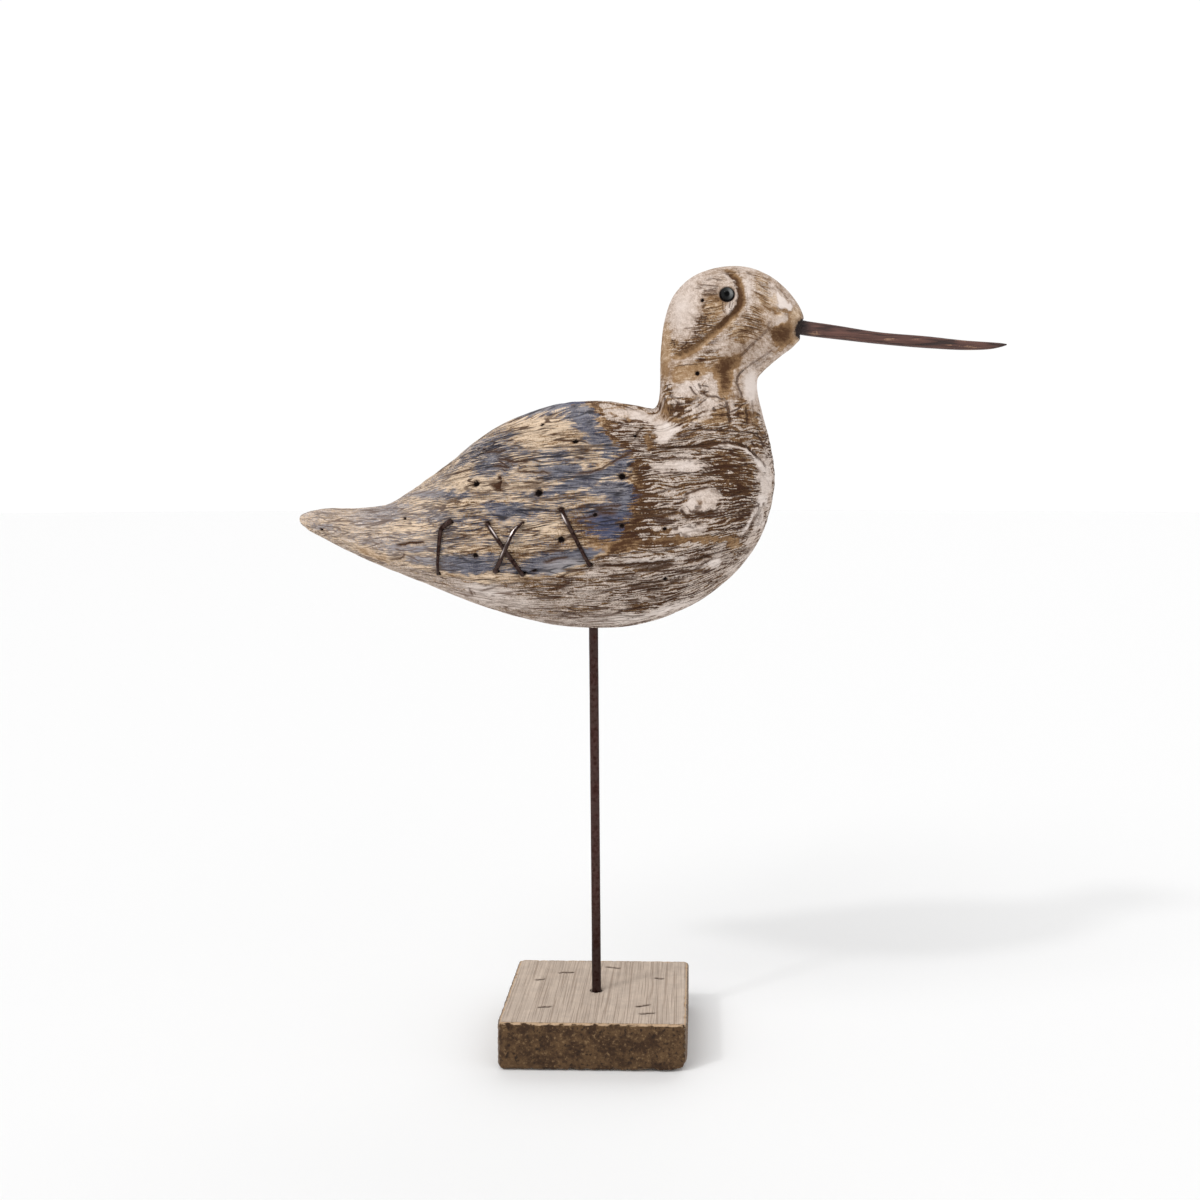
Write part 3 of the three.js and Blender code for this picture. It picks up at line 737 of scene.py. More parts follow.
# Cracks, slits and dark furrows that stand out: a route, half a width, a depth and a darkness.
BODY_LINES = [
    ([(-24.2, 42.6), (-24.3, 40.4), (-24.4, 38)], 0.48, 0.8, 1.3),
    ([(-24.6, 40.6), (-25.5, 39.6), (-26.5, 39.3)], 0.62, 0.5, 1.0),
    ([(-24.6, 39.2), (-25.8, 38.8)], 0.55, 0.5, 1.0),
    ([(-54, 23.3), (-51.5, 23.8), (-48.6, 24.3), (-45.6, 24.5), (-44.7, 23.9)], 0.34, 0.6, 1.0),
    ([(-51, 21.4), (-52.8, 19.4), (-56, 19.4)], 0.35, 0.4, 0.7),
    ([(-8.9, 13.9), (-9.4, 11.3)], 0.3, 0.4, 0.8), ([(-33.6, 12), (-33, 9.6)], 0.3, 0.3, 0.7),
    ([(-31, 11), (-26, 12.6), (-20, 13.4)], 0.25, 0.2, 0.5),
    ([(0, 18.4), (8, 18.9), (16, 19.3), (23, 19.8)], 0.42, 0.5, 1.0),
    ([(10, 18), (15, 18.3), (22.6, 18.7)], 0.28, 0.3, 0.7),
    ([(24.7, 19.5), (28, 20.1), (30.4, 20.8), (32.4, 21.6)], 0.42, 0.5, 1.0),
    ([(32, 21.3), (34.5, 22.1), (37, 22.7)], 0.25, 0.3, 0.7),
    ([(27.6, 31.9), (30, 32.4), (32.5, 33.2), (34.8, 34.6)], 0.22, 0.3, 0.6),
    ([(38, 32), (41, 33.3), (46.6, 34.9)], 0.3, 0.4, 0.85),
    ([(12, 33.1), (16, 33.5), (20, 33.6), (23.6, 33)], 0.3, 0.35, 0.85),
    ([(23.4, 33.2), (24.6, 32.2), (25.8, 30.6)], 0.4, 0.35, 0.7),
    ([(9, 31.6), (14, 31.9), (19, 32.2), (23.4, 31.9)], 0.25, 0.3, 0.7),
    ([(24, 37.1), (27.5, 38.4), (31.2, 39.6)], 0.3, 0.3, 0.75),
    ([(12, 36.9), (16, 37.4), (20, 38.6), (24, 39.6)], 0.28, 0.3, 0.6),
    ([(-5, 42.6), (0, 43.2), (3, 44.3), (8, 47.3), (12, 49.2)], 0.3, 0.3, 0.8),
    ([(9, 13), (13, 13.7), (17, 14.1), (20, 14.6)], 0.35, 0.4, 0.95),
    ([(14.4, 11.5), (16.6, 11.9), (19, 12)], 0.3, 0.35, 0.9),
    ([(23, 16.2), (26, 16.8), (29.4, 17.8)], 0.32, 0.35, 0.8),
    ([(20, 13.2), (22, 14.4), (24.8, 14.9)], 0.4, 0.35, 0.9),
    ([(5, 16.1), (9, 16.2), (13, 16.4)], 0.3, 0.35, 0.8),
    ([(3, 14.6), (8, 14.8), (12, 15)], 0.3, 0.35, 0.8),
    ([(12, 16.8), (15, 16.9), (18.6, 17.2)], 0.28, 0.3, 0.7),
    ([(14.4, 9.2), (18, 9.8), (22, 11)], 0.28, 0.3, 0.6),
    ([(1.6, 32.4), (4.2, 32.6), (7, 32.7)], 0.35, 0.4, 0.9),
    ([(0.8, 34), (4, 34.3), (8.6, 34.6)], 0.3, 0.35, 0.8),
    ([(-4.6, 31.2), (-1.6, 31.3), (1.6, 31.7)], 0.3, 0.35, 0.85),
    ([(-4.6, 29), (-1.6, 28.9), (1.4, 28.9)], 0.25, 0.3, 0.7),
    ([(-13, 19.4), (-9, 20.4), (-5.6, 21)], 0.3, 0.35, 0.8),
    ([(-13.4, 22.2), (-10, 22.6), (-7, 23)], 0.25, 0.3, 0.6),
    ([(-25.6, 47), (-20.4, 46.2), (-15.6, 46.1)], 0.3, 0.35, 0.9),
    ([(-26.4, 45), (-23.6, 44.8), (-21.4, 44.3)], 0.3, 0.35, 0.9),
    ([(-30, 49), (-26, 48.9), (-22.4, 49.1)], 0.28, 0.3, 0.7),
    ([(-20.6, 43.6), (-16, 43.5), (-12.6, 43.3), (-9.8, 42.8)], 0.3, 0.3, 0.9),
    ([(-18, 40.6), (-15.6, 40.8), (-12.4, 40.2)], 0.25, 0.3, 0.7),
    ([(-33, 38), (-29.4, 37.8), (-26, 38)], 0.25, 0.25, 0.6),
    (BREAST_RING, 0.38, 0.5, 0.95),
    ([(44, 47.2), (45.4, 46), (46.4, 44.6)], 0.3, 0.25, 0.6),
    ([(29, 44.4), (30.2, 44.2), (32, 43.9)], 0.28, 0.3, 0.8),
    ([(28.6, 42.9), (32.4, 42.9)], 0.28, 0.3, 0.75),
    ([(28.6, 46.8), (29.8, 46.6), (31.6, 46.8)], 0.3, 0.3, 0.85),
    ([(16, 46.9), (20, 46.9), (25, 46.8), (28, 47.2)], 0.22, 0.25, 0.6),
    ([(21, 42.7), (23.6, 43.2), (26.4, 43)], 0.25, 0.25, 0.6),
    ([(27.2, 34.1), (28, 33.7), (28.9, 34.2)], 0.45, 0.2, 0.6),
    ([(11.6, 52.6), (12.6, 54.6), (13.6, 55)], 0.4, 0.3, 0.8),
    ([(5, 56.6), (7, 56.2), (8.4, 56.4)], 0.3, 0.3, 0.7),
    ([(21.6, 28.8), (22.4, 27.8), (22.9, 29)], 0.3, 0.3, 0.8),
    ([(25, 28.9), (27.4, 28.5)], 0.22, 0.2, 0.5),
    ([(27.6, 29.9), (28.4, 29.6), (29.2, 29.9)], 0.4, 0.3, 0.9),
    (BREAST_FOLD, 0.5, 0.25, 0.4),
    ([(23.6, 54.8), (31, 54.4), (38, 54.1), (47, 53.4)], 0.22, 0.35, 0.95),
]
# The worn edge of the wing paint in side view: in front, by height, and below, by length.
WING_FRONT = [
    (18, -5), (20.2, 1), (25.8, 9.3), (30.5, 11.9), (37, 13.2), (43, 12.8), (48.6, 9.4), (53.5, 5.2),
    (57.9, 1.9), (62.3, -2.2),
]
WING_BELOW = [
    (-84, 27), (-67, 22), (-52.5, 18), (-42.7, 15.8), (-35.1, 14.6), (-24.1, 14.3), (-16.1, 15),
    (-8.3, 16.2), (-0.6, 18.6), (8, 22), (14, 26),
]
# Where the blue paint is thicker, and below 0 thinner: ovals with their middle, half length, half height,
# slope and strength.
BLUE_TOUCHES = [
    (-2, 59, 5, 1.8, -0.15, 0.5), (0, 55.2, 5.6, 2.2, -0.3, 0.6), (2.5, 51.8, 4.4, 1.4, 0, 0.45),
    (6.5, 48.6, 4.6, 2.4, 0, 0.4), (-7.4, 43.6, 7, 1.8, 0, 0.5), (8, 45.6, 4.6, 1.6, 0.5, 0.5),
    (-2, 41, 9, 1.5, 0.36, 0.55), (9, 38, 4, 3, 0, 0.35), (3, 38.5, 5, 1.4, 0.2, 0.35),
    (-26, 45.4, 7, 3, -0.05, 0.4), (-20, 49, 5, 1, -0.1, 0.25), (-24, 52, 5, 1.6, 0.5, 0.2),
    (-10, 47.6, 4, 1.2, 0, 0.35), (-30, 50, 5, 2, 0.5, 0.12), (-21, 33, 6.5, 2, 0, 0.45),
    (4, 32, 6, 2.6, 0.05, 0.6), (5, 27.4, 4.4, 2.2, 0.1, 0.45), (9, 35, 3.5, 3, 0, 0.3),
    (-13.5, 37.4, 5, 1.1, 0.05, 0.35), (-36, 18.4, 8, 2.6, -0.03, 0.5), (-29, 19, 7, 3, 0, 0.35),
    (-15, 16.4, 8, 1.8, 0.05, 0.6), (-6, 20.4, 8, 2.2, 0.12, 0.55), (-14, 20, 6, 1.6, 0.1, 0.3),
    (-40, 37.4, 11, 0.9, 0, 0.4), (-60, 31.4, 7, 2.6, 0.1, 0.4), (-56, 33.6, 7, 1, 0.15, 0.3),
    (-43, 31.5, 6, 1.6, 0, 0.25), (-48, 22.6, 9.5, 0.6, -0.02, 0.75), (-47.6, 19.4, 5, 1.5, -0.05, 0.5),
    (-75, 28, 4, 1, -0.1, 0.4), (-33, 56, 8, 1.2, 0.7, 0.2), (-12, 61.4, 9, 1.5, 0.25, 0.7),
    (-14, 54.6, 7, 3.2, 0, -0.45), (-10, 51.6, 6.5, 2, 0.1, -0.35), (-31, 40, 8, 2, 0, -0.4),
    (-18, 39, 6, 1.6, 0, -0.25), (-26, 22.9, 15, 0.7, 0.04, -0.5), (-11, 29, 7, 2.6, 0, -0.25),
    (-34, 35.4, 6, 1, 0.1, -0.4), (-60, 21, 6, 1.8, -0.35, -0.6), (1, 25.4, 6, 0.8, 0.1, -0.3),
    (-50, 29, 7, 1.6, 0, -0.2), (-68, 31, 7, 1.6, 0, -0.3), (0, 44.6, 5, 1, 0.35, -0.3),
    (-34, 44, 5, 2, 0.6, -0.25), (-36, 33, 16, 4, 0, 0.14), (-30, 47, 12, 5, 0.5, 0.12),
    (-40, 27, 12, 3, 0, 0.12),
]
# White wash over the breast and belly, by ovals and by patches; below 0 it is rubbed off to the brown wood.
WASH_TOUCHES = [
    (46, 41, 2.4, 7, 0, 0.5), (44, 29.6, 1.8, 4, 0.6, 0.5), (41.6, 24, 2, 1.2, 0.6, 0.3),
    (40.4, 19.4, 5, 1.6, 0.8, 0.3), (45.4, 33, 1.6, 5, 0.2, 0.35), (16, 20.1, 8, 0.6, 0.05, 0.7),
    (29, 18.6, 4, 0.9, 0.2, 0.4), (32.4, 19.2, 2, 1.6, 0.5, 0.4), (35, 22.6, 2.4, 1.2, 0.4, 0.4),
    (22, 15.6, 7, 0.5, 0.1, 0.4), (-28, 10, 13, 3.6, -0.15, 0.22), (8, 59.2, 6, 2, -0.2, 0.12),
    (12.5, 57.6, 3, 2, -0.3, 0.3), (12, 47.9, 5, 0.8, 0.1, 0.45), (25, 47.8, 6, 1, 0.05, 0.25),
    # The first two ovals here whiten the belly's lower edge, partly as painted light.
    (21, 6.6, 9, 1.3, 0.3, 0.35), (6, 3.4, 8, 1.2, 0.05, 0.3), (27, 21.2, 5, 0.5, 0.15, 0.35),
    (9.6, 52.6, 3.4, 3.4, -0.6, 0.25), (3, 4, 16, 1.4, 0, 0.1), (24, 24.2, 5, 0.5, 0.15, 0.3),
    (-32, 12.6, 10, 1.6, -0.25, 0.25), (38.4, 38.6, 5, 9, -0.5, -0.15), (36, 46, 4.4, 3.4, -0.2, -0.1),
    (39, 49.8, 5.5, 0.9, -0.3, -0.3), (34, 52.4, 11, 0.9, 0, -0.1), (6, 23.6, 11, 1.8, 0.1, -0.8),
    (26, 25.5, 13, 0.8, 0.01, -1.0), (38, 24.2, 2.1, 1.8, 0, -1.1), (17, 8.4, 8, 1, 0.33, -0.45),
    (10, 6.6, 6, 0.8, 0.1, -0.35), (29, 16.6, 3, 1, 0.4, -0.35), (15, 52, 0.9, 3.4, -0.15, -0.45),
    (17, 49.6, 3, 0.8, 0, -0.3), (13.4, 41.6, 2, 4.6, 0, -0.15), (17, 31, 6, 3, 0, -0.1),
    (9.5, 57.4, 1.6, 0.6, -0.1, -0.4), (19, 27.6, 2, 1.2, 0, -0.2), (28.9, 35.4, 0.9, 0.8, 0, -0.7),
    (-61, 20.9, 6, 1.7, -0.3, -0.95), (-20, 5, 9, 1, -0.15, -0.25), (-8, 5.4, 12, 2.2, -0.02, -0.16),
    (-14, 10.4, 9, 1.2, 0.05, -0.28), (-8, 13.8, 15, 1.3, 0.08, -0.42), (-3, 6.6, 7, 1, 0.15, -0.25),
    (-36, 11.6, 7, 0.7, -0.3, -0.2), (44.4, 52, 2, 3, 0, -0.3), (22, 57.6, 4, 1.2, 0, 0.2),
]
WASH_PATCHES = [
    ([(15, 57.4), (15.8, 55.4), (20.4, 55), (20.2, 58), (18.2, 58.8)], 1.0, 0.5),
    ([(16, 54.6), (16.5, 51.8), (18.2, 50.4), (22.4, 50.6), (22.6, 53), (25.4, 55), (20, 56.4)], 1.0, 0.5),
    ([(15.4, 44.6), (16.4, 43), (19, 42), (25, 43.2), (31, 43.2), (31.4, 45.6), (25, 46.4), (17, 46.2)],
     1.0, 0.5),
    ([(23.8, 35.2), (26.4, 32.8), (30.4, 32.6), (34.2, 34.4), (33.6, 38), (31, 39.2), (27, 38)],
     1.2, 0.36),
    ([(19.6, 26.6), (29, 26.4), (30.2, 27.6), (29.4, 29.6), (22, 29.8)], 1.0, 0.45),
    ([(31.4, 49.8), (31.4, 42), (34, 37.4), (37.4, 35.8), (41.4, 37), (43.4, 42), (42.6, 46.6),
      (39.6, 49.4)], 0.5, -0.42),
]
# Where the wood is smooth.
CALM_TOUCHES = [
    (8, 59.2, 6, 2, -0.2, 0.9), (14, 58, 3, 2, -0.3, 0.8), (28.8, 35.5, 4.4, 3, 0, 0.6),
    (21, 6, 9, 1, 0.3, 0.6), (26, 25.4, 14, 0.95, 0.01, 1.0), (5, 23.6, 11, 2, 0.1, 0.85),
    (38, 24.3, 1.8, 1.5, 0, 0.8), (32.4, 19.2, 2, 1.4, 0.5, 0.7), (-61, 20.9, 5.4, 1.6, -0.3, 0.9),
    (-50, 23.6, 6, 0.6, 0, 0.6), (15, 52, 0.8, 3, -0.15, 0.8), (-32, 15.8, 8, 1, 0, 0.4),
    (-15, 15.4, 6, 1, 0.05, 0.4), (46.6, 40, 2.6, 9, -0.05, 0.9), (-22.6, 30.3, 6.4, 0.9, 0, 1.0),
    (-30, 10, 14, 4, -0.15, 0.4), (43.6, 26.4, 2.6, 6, 0.6, 0.75), (38, 16.6, 5, 2.4, 0.8, 0.6),
    (46, 54, 2, 4, 0, 0.4),
]
# Where the bare wood is lighter, and below 0 darker.
TAN_TOUCHES = [
    (38, 24.2, 2, 1.7, 0, 0.06), (24, 25.2, 15, 1.3, 0.01, -0.17), (-14, 54.6, 7, 3.2, 0, 0.22),
    (-31, 40, 8, 2.4, 0, 0.2), (-61, 20.9, 6, 1.7, -0.3, -0.6), (28.9, 35.4, 0.8, 0.7, 0, -0.3),
    (37, 42, 5.4, 7, -0.2, -0.36), (14.2, 35, 2.8, 9, 0, -0.34), (17, 8.4, 8, 1.2, 0.33, -0.2),
    (5, 23.8, 11, 2, 0.1, -0.14), (3, 30, 10, 4.6, 0, -0.5), (9, 59.4, 6, 2, -0.2, 0.4),
    (-14, 28, 20, 8, 0.05, -0.16), (0, 43, 9, 8, 0, -0.12), (-70, 27, 16, 9, 0, 0.12),
    (-8, 7, 16, 4.4, 0, 0.14), (-6, 62.6, 7, 1.3, 0.08, -0.8),
]


def weathered_body(points):
    """What the carver's tools, the weather and the paint leave at every point of the body: how deep the skin
    is cut back, in millimetres, and the fields that the wood's finish reads. Some of these fields also paint
    shade in the holes and cracks, and light on the underside."""
    x, y, z = np.moveaxis(points, -1, 0)
    seen = np.maximum(soft_step(1.5, -1.5, y), soft_step(41, 46, x))
    alike = 0.55 + 0.45 * seen
    grain = body_grain(x, y, z)
    ridges = layered(grain * (0.07, 0.42, 0.42), 31, 2)
    furrow = field(grain * (0.09, 0.5, 0.5), 41)
    broken = soft_step(-0.15, 0.2, field(grain * (0.06, 0.3, 0.3), 42))
    drift = layered(grain * (0.05, 0.2, 0.2), 51)
    cloud = layered(points * 0.09, 61)
    side_x, side_z = x + 0.25 * field(points * 0.5, 73), z + 0.2 * field(points * 0.5, 74)
    x = x + 1.2 * layered(points * 0.4, 71) + 4 * (1 - seen) * field(points * 0.09, 75)
    z = z + 0.6 * layered(points * 0.5, 72) + 2.5 * (1 - seen) * field(points * 0.09, 76)
    front_gap = np.interp(z, *zip(*WING_FRONT)) - x + 0.9 * cloud + 0.9 * ridges
    front_gap = front_gap + 1.2 * field(grain * (0.12, 0.7, 0.7), 81)
    below_gap = z - np.interp(x, *zip(*WING_BELOW)) + 0.8 * drift + 0.5 * ridges
    wing_gap = np.minimum(front_gap, below_gap * 1.5)
    wing = soft_step(-1.8, 1.8, wing_gap)
    halo = bell((wing_gap + 1.6) / 2.4) * soft_step(-14, -4, x)
    filled = patches(x, z, WASH_PATCHES)
    white = touches(x, z, WASH_TOUCHES) + filled
    calm = np.clip(touches(x, z, CALM_TOUCHES) + 1.6 * np.clip(filled, 0, 0.5), 0, 1) * seen
    holes, hole_gap = pricks(points, BODY_HOLES + LEG_HOLES)
    crack, crack_gap, crack_power = carved_lines(side_x, side_z, BODY_LINES, seen)
    ring_gap, fold_gap = (beside(side_x, side_z, route)[0] for route in (BREAST_RING, BREAST_FOLD))
    pale_side = bell((ring_gap + 0.95) / 0.5) * soft_step(30, 33, x)
    pale_side = (pale_side + bell((fold_gap + 1.0) / 0.5) * soft_step(25.5, 28, z)) * seen
    rough = np.clip(1.05 + 0.1 * cloud - 0.25 * soft_step(-38, -60, x), 0, 1.2)
    rough = rough * (1 - 0.85 * calm) * (1 - 0.6 * pale_side)
    deep = broken * rough * (0.75 + 0.25 * soft_step(0, 12, x) * (1 - wing))
    cut = 0.14 + rough * (0.3 * deep * bell(furrow / 0.3) - 0.1 * ridges)
    cut = cut + 0.1 * np.clip(-white, 0, 1) * (1 - wing) + holes + crack - 0.25 * pale_side - 0.06 * calm
    wash = 0.61 + 0.06 * ridges + 0.08 * cloud + 0.08 * drift + 0.8 * white * alike - 0.3 * halo
    wash = wash + 0.9 * pale_side - 1.5 * wing + 1.36 * soft_step(-40, -60, x) * wing
    # Whiter towards the underside: painted light that offsets the shade under the belly.
    wash = wash + 0.1 * soft_step(14, 4, z) + 0.1 * soft_step(26, 20, z)
    blue = 0.34 + 0.16 * drift + 0.08 * ridges - 0.06 * cloud + 1.25 * touches(x, z, BLUE_TOUCHES) * alike
    blue = blue + 0.15 * bell((front_gap - 3.5) / 4) + 0.15 * soft_step(56, 62, z)
    blue = blue + 0.05 * soft_step(-46, -60, x) - 0.95 * soft_step(4.6, -2.4, wing_gap)
    tone = 0.77 + 0.16 * drift + 0.08 * cloud - (1 - wing) * soft_step(-45, -5, x) * 0.4
    tone = tone + 0.32 * soft_step(-30, -58, x) + touches(x, z, TAN_TOUCHES) * alike - 0.12 * halo
    tone = tone - 0.28 * bell((wing_gap - 0.2) / 2.4) * soft_step(0, 9, x)
    fine = 0.6 - 0.5 * soft_step(-8, 16, x) + 0.35 * soft_step(-28, -52, x)
    return cut, {
        "grain": grain, "wash": wash, "blue": blue, "tone": np.clip(tone, 0, 1), "rough": rough,
        "hole": hole_gap, "line": crack_gap, "power": crack_power, "furrow": furrow, "deep": deep,
        "fine": np.clip(fine, 0, 1),
    }


def build_weathered_wood(name):
    """Bare softwood, brown to tan, with dark furrows, under what is left of two thin coats: blue-grey paint,
    worn off the ridges, and a white wash, which stays on the ridges where the wood is rough and is even where
    it is smooth. The furrows and the carved lines are dark with dirt and painted shade, and the holes are
    painted dark inside as shade."""
    material, tree = new_material(name)
    labels = ("grain", "tone", "wash", "blue", "rough", "fine", "hole", "line", "power", "furrow", "deep")
    read = (stored(tree, label) for label in labels)
    grain, tone, wash, blue, rough, fine, hole, line, power, wide, deep = read
    broad = use_group(tree, OPEN_GRAIN, Grain=grain, Along=0.27, Across=0.95, Waver=2.2)
    close = use_group(tree, OPEN_GRAIN, Grain=grain, Along=0.26, Across=2.3, Waver=1.4)
    height = (broad[0] - close[0]) * (1.0 - fine) + close[0]
    split = larger(broad[3], close[3] * fine) * rise(rough, 0.1, 0.7)
    above = (height - 0.5) * rough
    specks = (broad[2] - 0.5) * (rough * 0.75 + 0.25)
    blotch = noise(grain, 0.8, 3.0, 0.6) - 0.5
    stripes = (height - 0.5) * rise(rough, 0.0, 0.5) * (fine * 0.8 + 0.3)
    shade = tone + above * 0.6 + stripes + specks * 0.5 + blotch * 0.6
    wood = over(rise(shade, 0.0, 0.5), light(80, 52, 30), light(150, 118, 84))
    wood = over(rise(shade, 0.4, 1.0), wood, light(232, 207, 180))
    painted = rise(blue - above * 1.2 + blotch * 0.5 + specks * 0.5, 0.3, 0.7)
    paint = over(rise(above, -0.3, 0.25), light(54, 60, 80), light(113, 119, 137))
    paint = over(rise(specks + blotch, 0.05, 0.5), paint, light(130, 128, 136))
    paint = over(rise(tone, 0.8, 1.0) * 0.75, paint, light(166, 162, 167))
    paint = over(rise(tone, 0.5, 0.1) * 0.6, paint, light(60, 68, 104))
    wood = over(painted * 0.9, wood, paint)
    lifted = wash + above * 1.9 + specks * 0.35 + blotch * 0.5
    soft = 0.32 - rough * 0.245
    washed = rise(lifted, 0.56 - soft, soft + 0.56)
    white = over(rise(specks + blotch, -0.35, 0.35), light(176, 157, 143), light(224, 208, 197))
    white = over(rise(wash, 0.75, 1.25), white, light(237, 224, 216))
    wood = over(washed * 0.96, wood, white)
    finest = rise(fine, 0.62, 0.9)
    # Dark furrow bottoms and open splits: partly dirt, partly painted shade.
    sunk = rise(height - finest * 0.1, 0.26, 0.1) * rise(rough, 0.1, 0.6)
    sunk = larger(larger(sunk, rise(abs(wide), 0.18, 0.06) * deep), split)
    bottom = over(painted, light(64, 36, 20), light(36, 32, 38))
    bottom = over(finest, bottom, light(118, 100, 90))
    bottom = over(rise(wash, 0.62, 1.0) * 0.6, bottom, light(142, 118, 100))
    wood = over(sunk * 0.88, wood, bottom)
    # Along the carved lines and cracks a brown stain, and a dark core that is partly dirt and partly painted
    # shade.
    beside_line = abs(line + specks * 0.8)
    core = rise(beside_line, 1.1, 0.4) * power
    wood = over(rise(beside_line, 3.2, 0.6) * power * 0.45, wood, light(124, 94, 68))
    wood = over(core * 0.95, wood, light(76, 48, 30))
    # Holes, sockets and the eye's edge: browner at their rims and painted near black inside, as shade.
    wood = over(rise(hole, 1.7, 1.0) * 0.5, wood, light(96, 70, 50))
    relief = above + washed * 0.12 + specks * 0.2 - (core + split * 0.35)
    return finish_material(material, {
        "Base Color": over(rise(hole + specks * 0.3, 1.08, 0.86), wood, light(30, 17, 14)),
        "Roughness": 0.9 - painted * 0.12,
        "Normal": bumped(relief * (1.0 - fine * 0.72), 1.0, 0.00075),
        "Specular IOR Level": 0.25,
    })


# Where the wires go into the wood, in side view. One of them ends thin, in a smaller hole.
STITCH_ENDS = [
    (-41.9, 15.9), (-37.8, 30.1), (-27.4, 29.6), (-18.4, 16.3), (-25.6, 17), (-17.9, 30), (-7.7, 33.4),
    (-0.4, 18.8),
]
THIN_END = -17.9
LEG_HOLE_RADIUS, THIN_HOLE_RADIUS = 0.72, 0.42


def half_width_at(x, z):
    """Half the bird's width at places in side view: of many ribs, the one that passes nearest to the place,
    and on it the width by the ring's formula, half (1 - |1 - 2 down|^p)^(1 / p)."""
    steps = np.linspace(0.2, LAST_RIB - 0.2, RIBS_TRIED)
    upper, lower = upper_line(steps), lower_line(steps)
    rib = lower - upper
    off = np.stack([x, z], -1)[..., None, :] - upper
    down = np.clip((off * rib).sum(-1) / (rib**2).sum(-1), 0, 1)
    nearest = np.linalg.norm(off - rib * down[..., None], axis=-1).argmin(-1)
    share = np.take_along_axis(down, nearest[..., None], -1)[..., 0]
    return width_line(steps[nearest])[..., 1] * (1 - np.abs(1 - 2 * share) ** RIB_POWER) ** (1 / RIB_POWER)


LEG_HOLES = []
for leg_x, leg_z in STITCH_ENDS:
    leg_y = -float(half_width_at(np.array(leg_x), np.array(leg_z)))
    LEG_HOLES.append((leg_x, leg_y, leg_z, THIN_HOLE_RADIUS if leg_x == THIN_END else LEG_HOLE_RADIUS))
ROD_MOUTH_X, ROD_MOUTH_RADIUS, ROD_MOUTH_DEPTH = -1, 2.1, 1.2
TAIL_TIP_CUT = 0.15
body_skin = carved_grid(
    BODY_ROWS, BODY_COLUMNS, lambda turn: 0 * turn, joint_step,
    [np.array(hole[:3]) for hole in BODY_HOLES + LEG_HOLES],
)
body_cut, body_fields = weathered_body(body_skin)
rod_gap = np.hypot(body_skin[..., 0] - ROD_MOUTH_X, body_skin[..., 1])
rod_mouth = soft_step(ROD_MOUTH_RADIUS, ROD_MOUTH_RADIUS - 0.6, rod_gap) * (body_skin[..., 2] < 10)
body_cut = body_cut + ROD_MOUTH_DEPTH * rod_mouth
# The rod's hole in the belly is painted dark, as shade.
body_fields["hole"] = np.where(rod_mouth > 0.5, 0.5, body_fields["hole"])
body_carved = body_skin - outward(body_skin) * body_cut[..., None]
body_carved[0] = body_skin[0] + (TAIL_TIP_CUT, 0, 0)


def with_joint_face(carved, fields, edge):
    """Puts a ring grid and the joint face that closes one edge of it into one list of points and quads, over
    the belly's height. The face takes the fields of that edge."""
    face = close_joint(carved[edge])
    points = np.concatenate([carved.reshape(-1, 3), face.reshape(-1, 3)]) + (0, 0, BELLY)
    face_quads = grid_quads(*face.shape[:2]) + carved.shape[0] * carved.shape[1]
    quads = np.concatenate([grid_quads(*carved.shape[:2], True), face_quads])
    half = np.repeat(np.arange(face.shape[0]), face.shape[1])
    joined = {}
    for label, values in fields.items():
        flat = values.reshape(-1, *values.shape[2:])
        joined[label] = np.concatenate([flat, values[edge][half]])
    return points, quads, joined


points, quads, fields = with_joint_face(body_carved, body_fields, -1)
body = make_piece("carved_body", points, quads, build_weathered_wood("painted weathered wood"), **fields)
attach(body, "root")
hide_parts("body")


# The head and neck: a second block of the same wood, glued into the step in the body and carved
# with it. It is white washed, with a line carved round each cheek, a shallow recess with a drilled
# socket for the bill, and brown wood bare where the wash has flaked or was rubbed off.
HEAD_ROWS, HEAD_COLUMNS = 290, 320
CHEEK_LINE = [
    (33.6, 98.1), (36.6, 96.4), (38.9, 93.2), (39.5, 89.2), (38.4, 86), (35.9, 83.2), (32, 79.6),
    (28, 76.4), (24.2, 74.5), (20.6, 73.5),
]
FACE_MIDDLE = (42, 85)
EYE, EYE_HOLLOW_RADIUS, EYE_HOLLOW_DEPTH = (35.5, 90), 2.15, 0.4
MOUTH_FROM, MOUTH_HEIGHT = 51, 81.8
MOUTH_HALF_WIDTH, MOUTH_HALF_HEIGHT, MOUTH_DEPTH = 7.3, 2.8, 0.55
HEAD_HOLES = [(28.9, -11.9, 88.6, 0.5), (27.7, -12.4, 69.4, 0.6), (30.5, 11.9, 79, 0.5), (25, 12.3, 86, 0.45)]
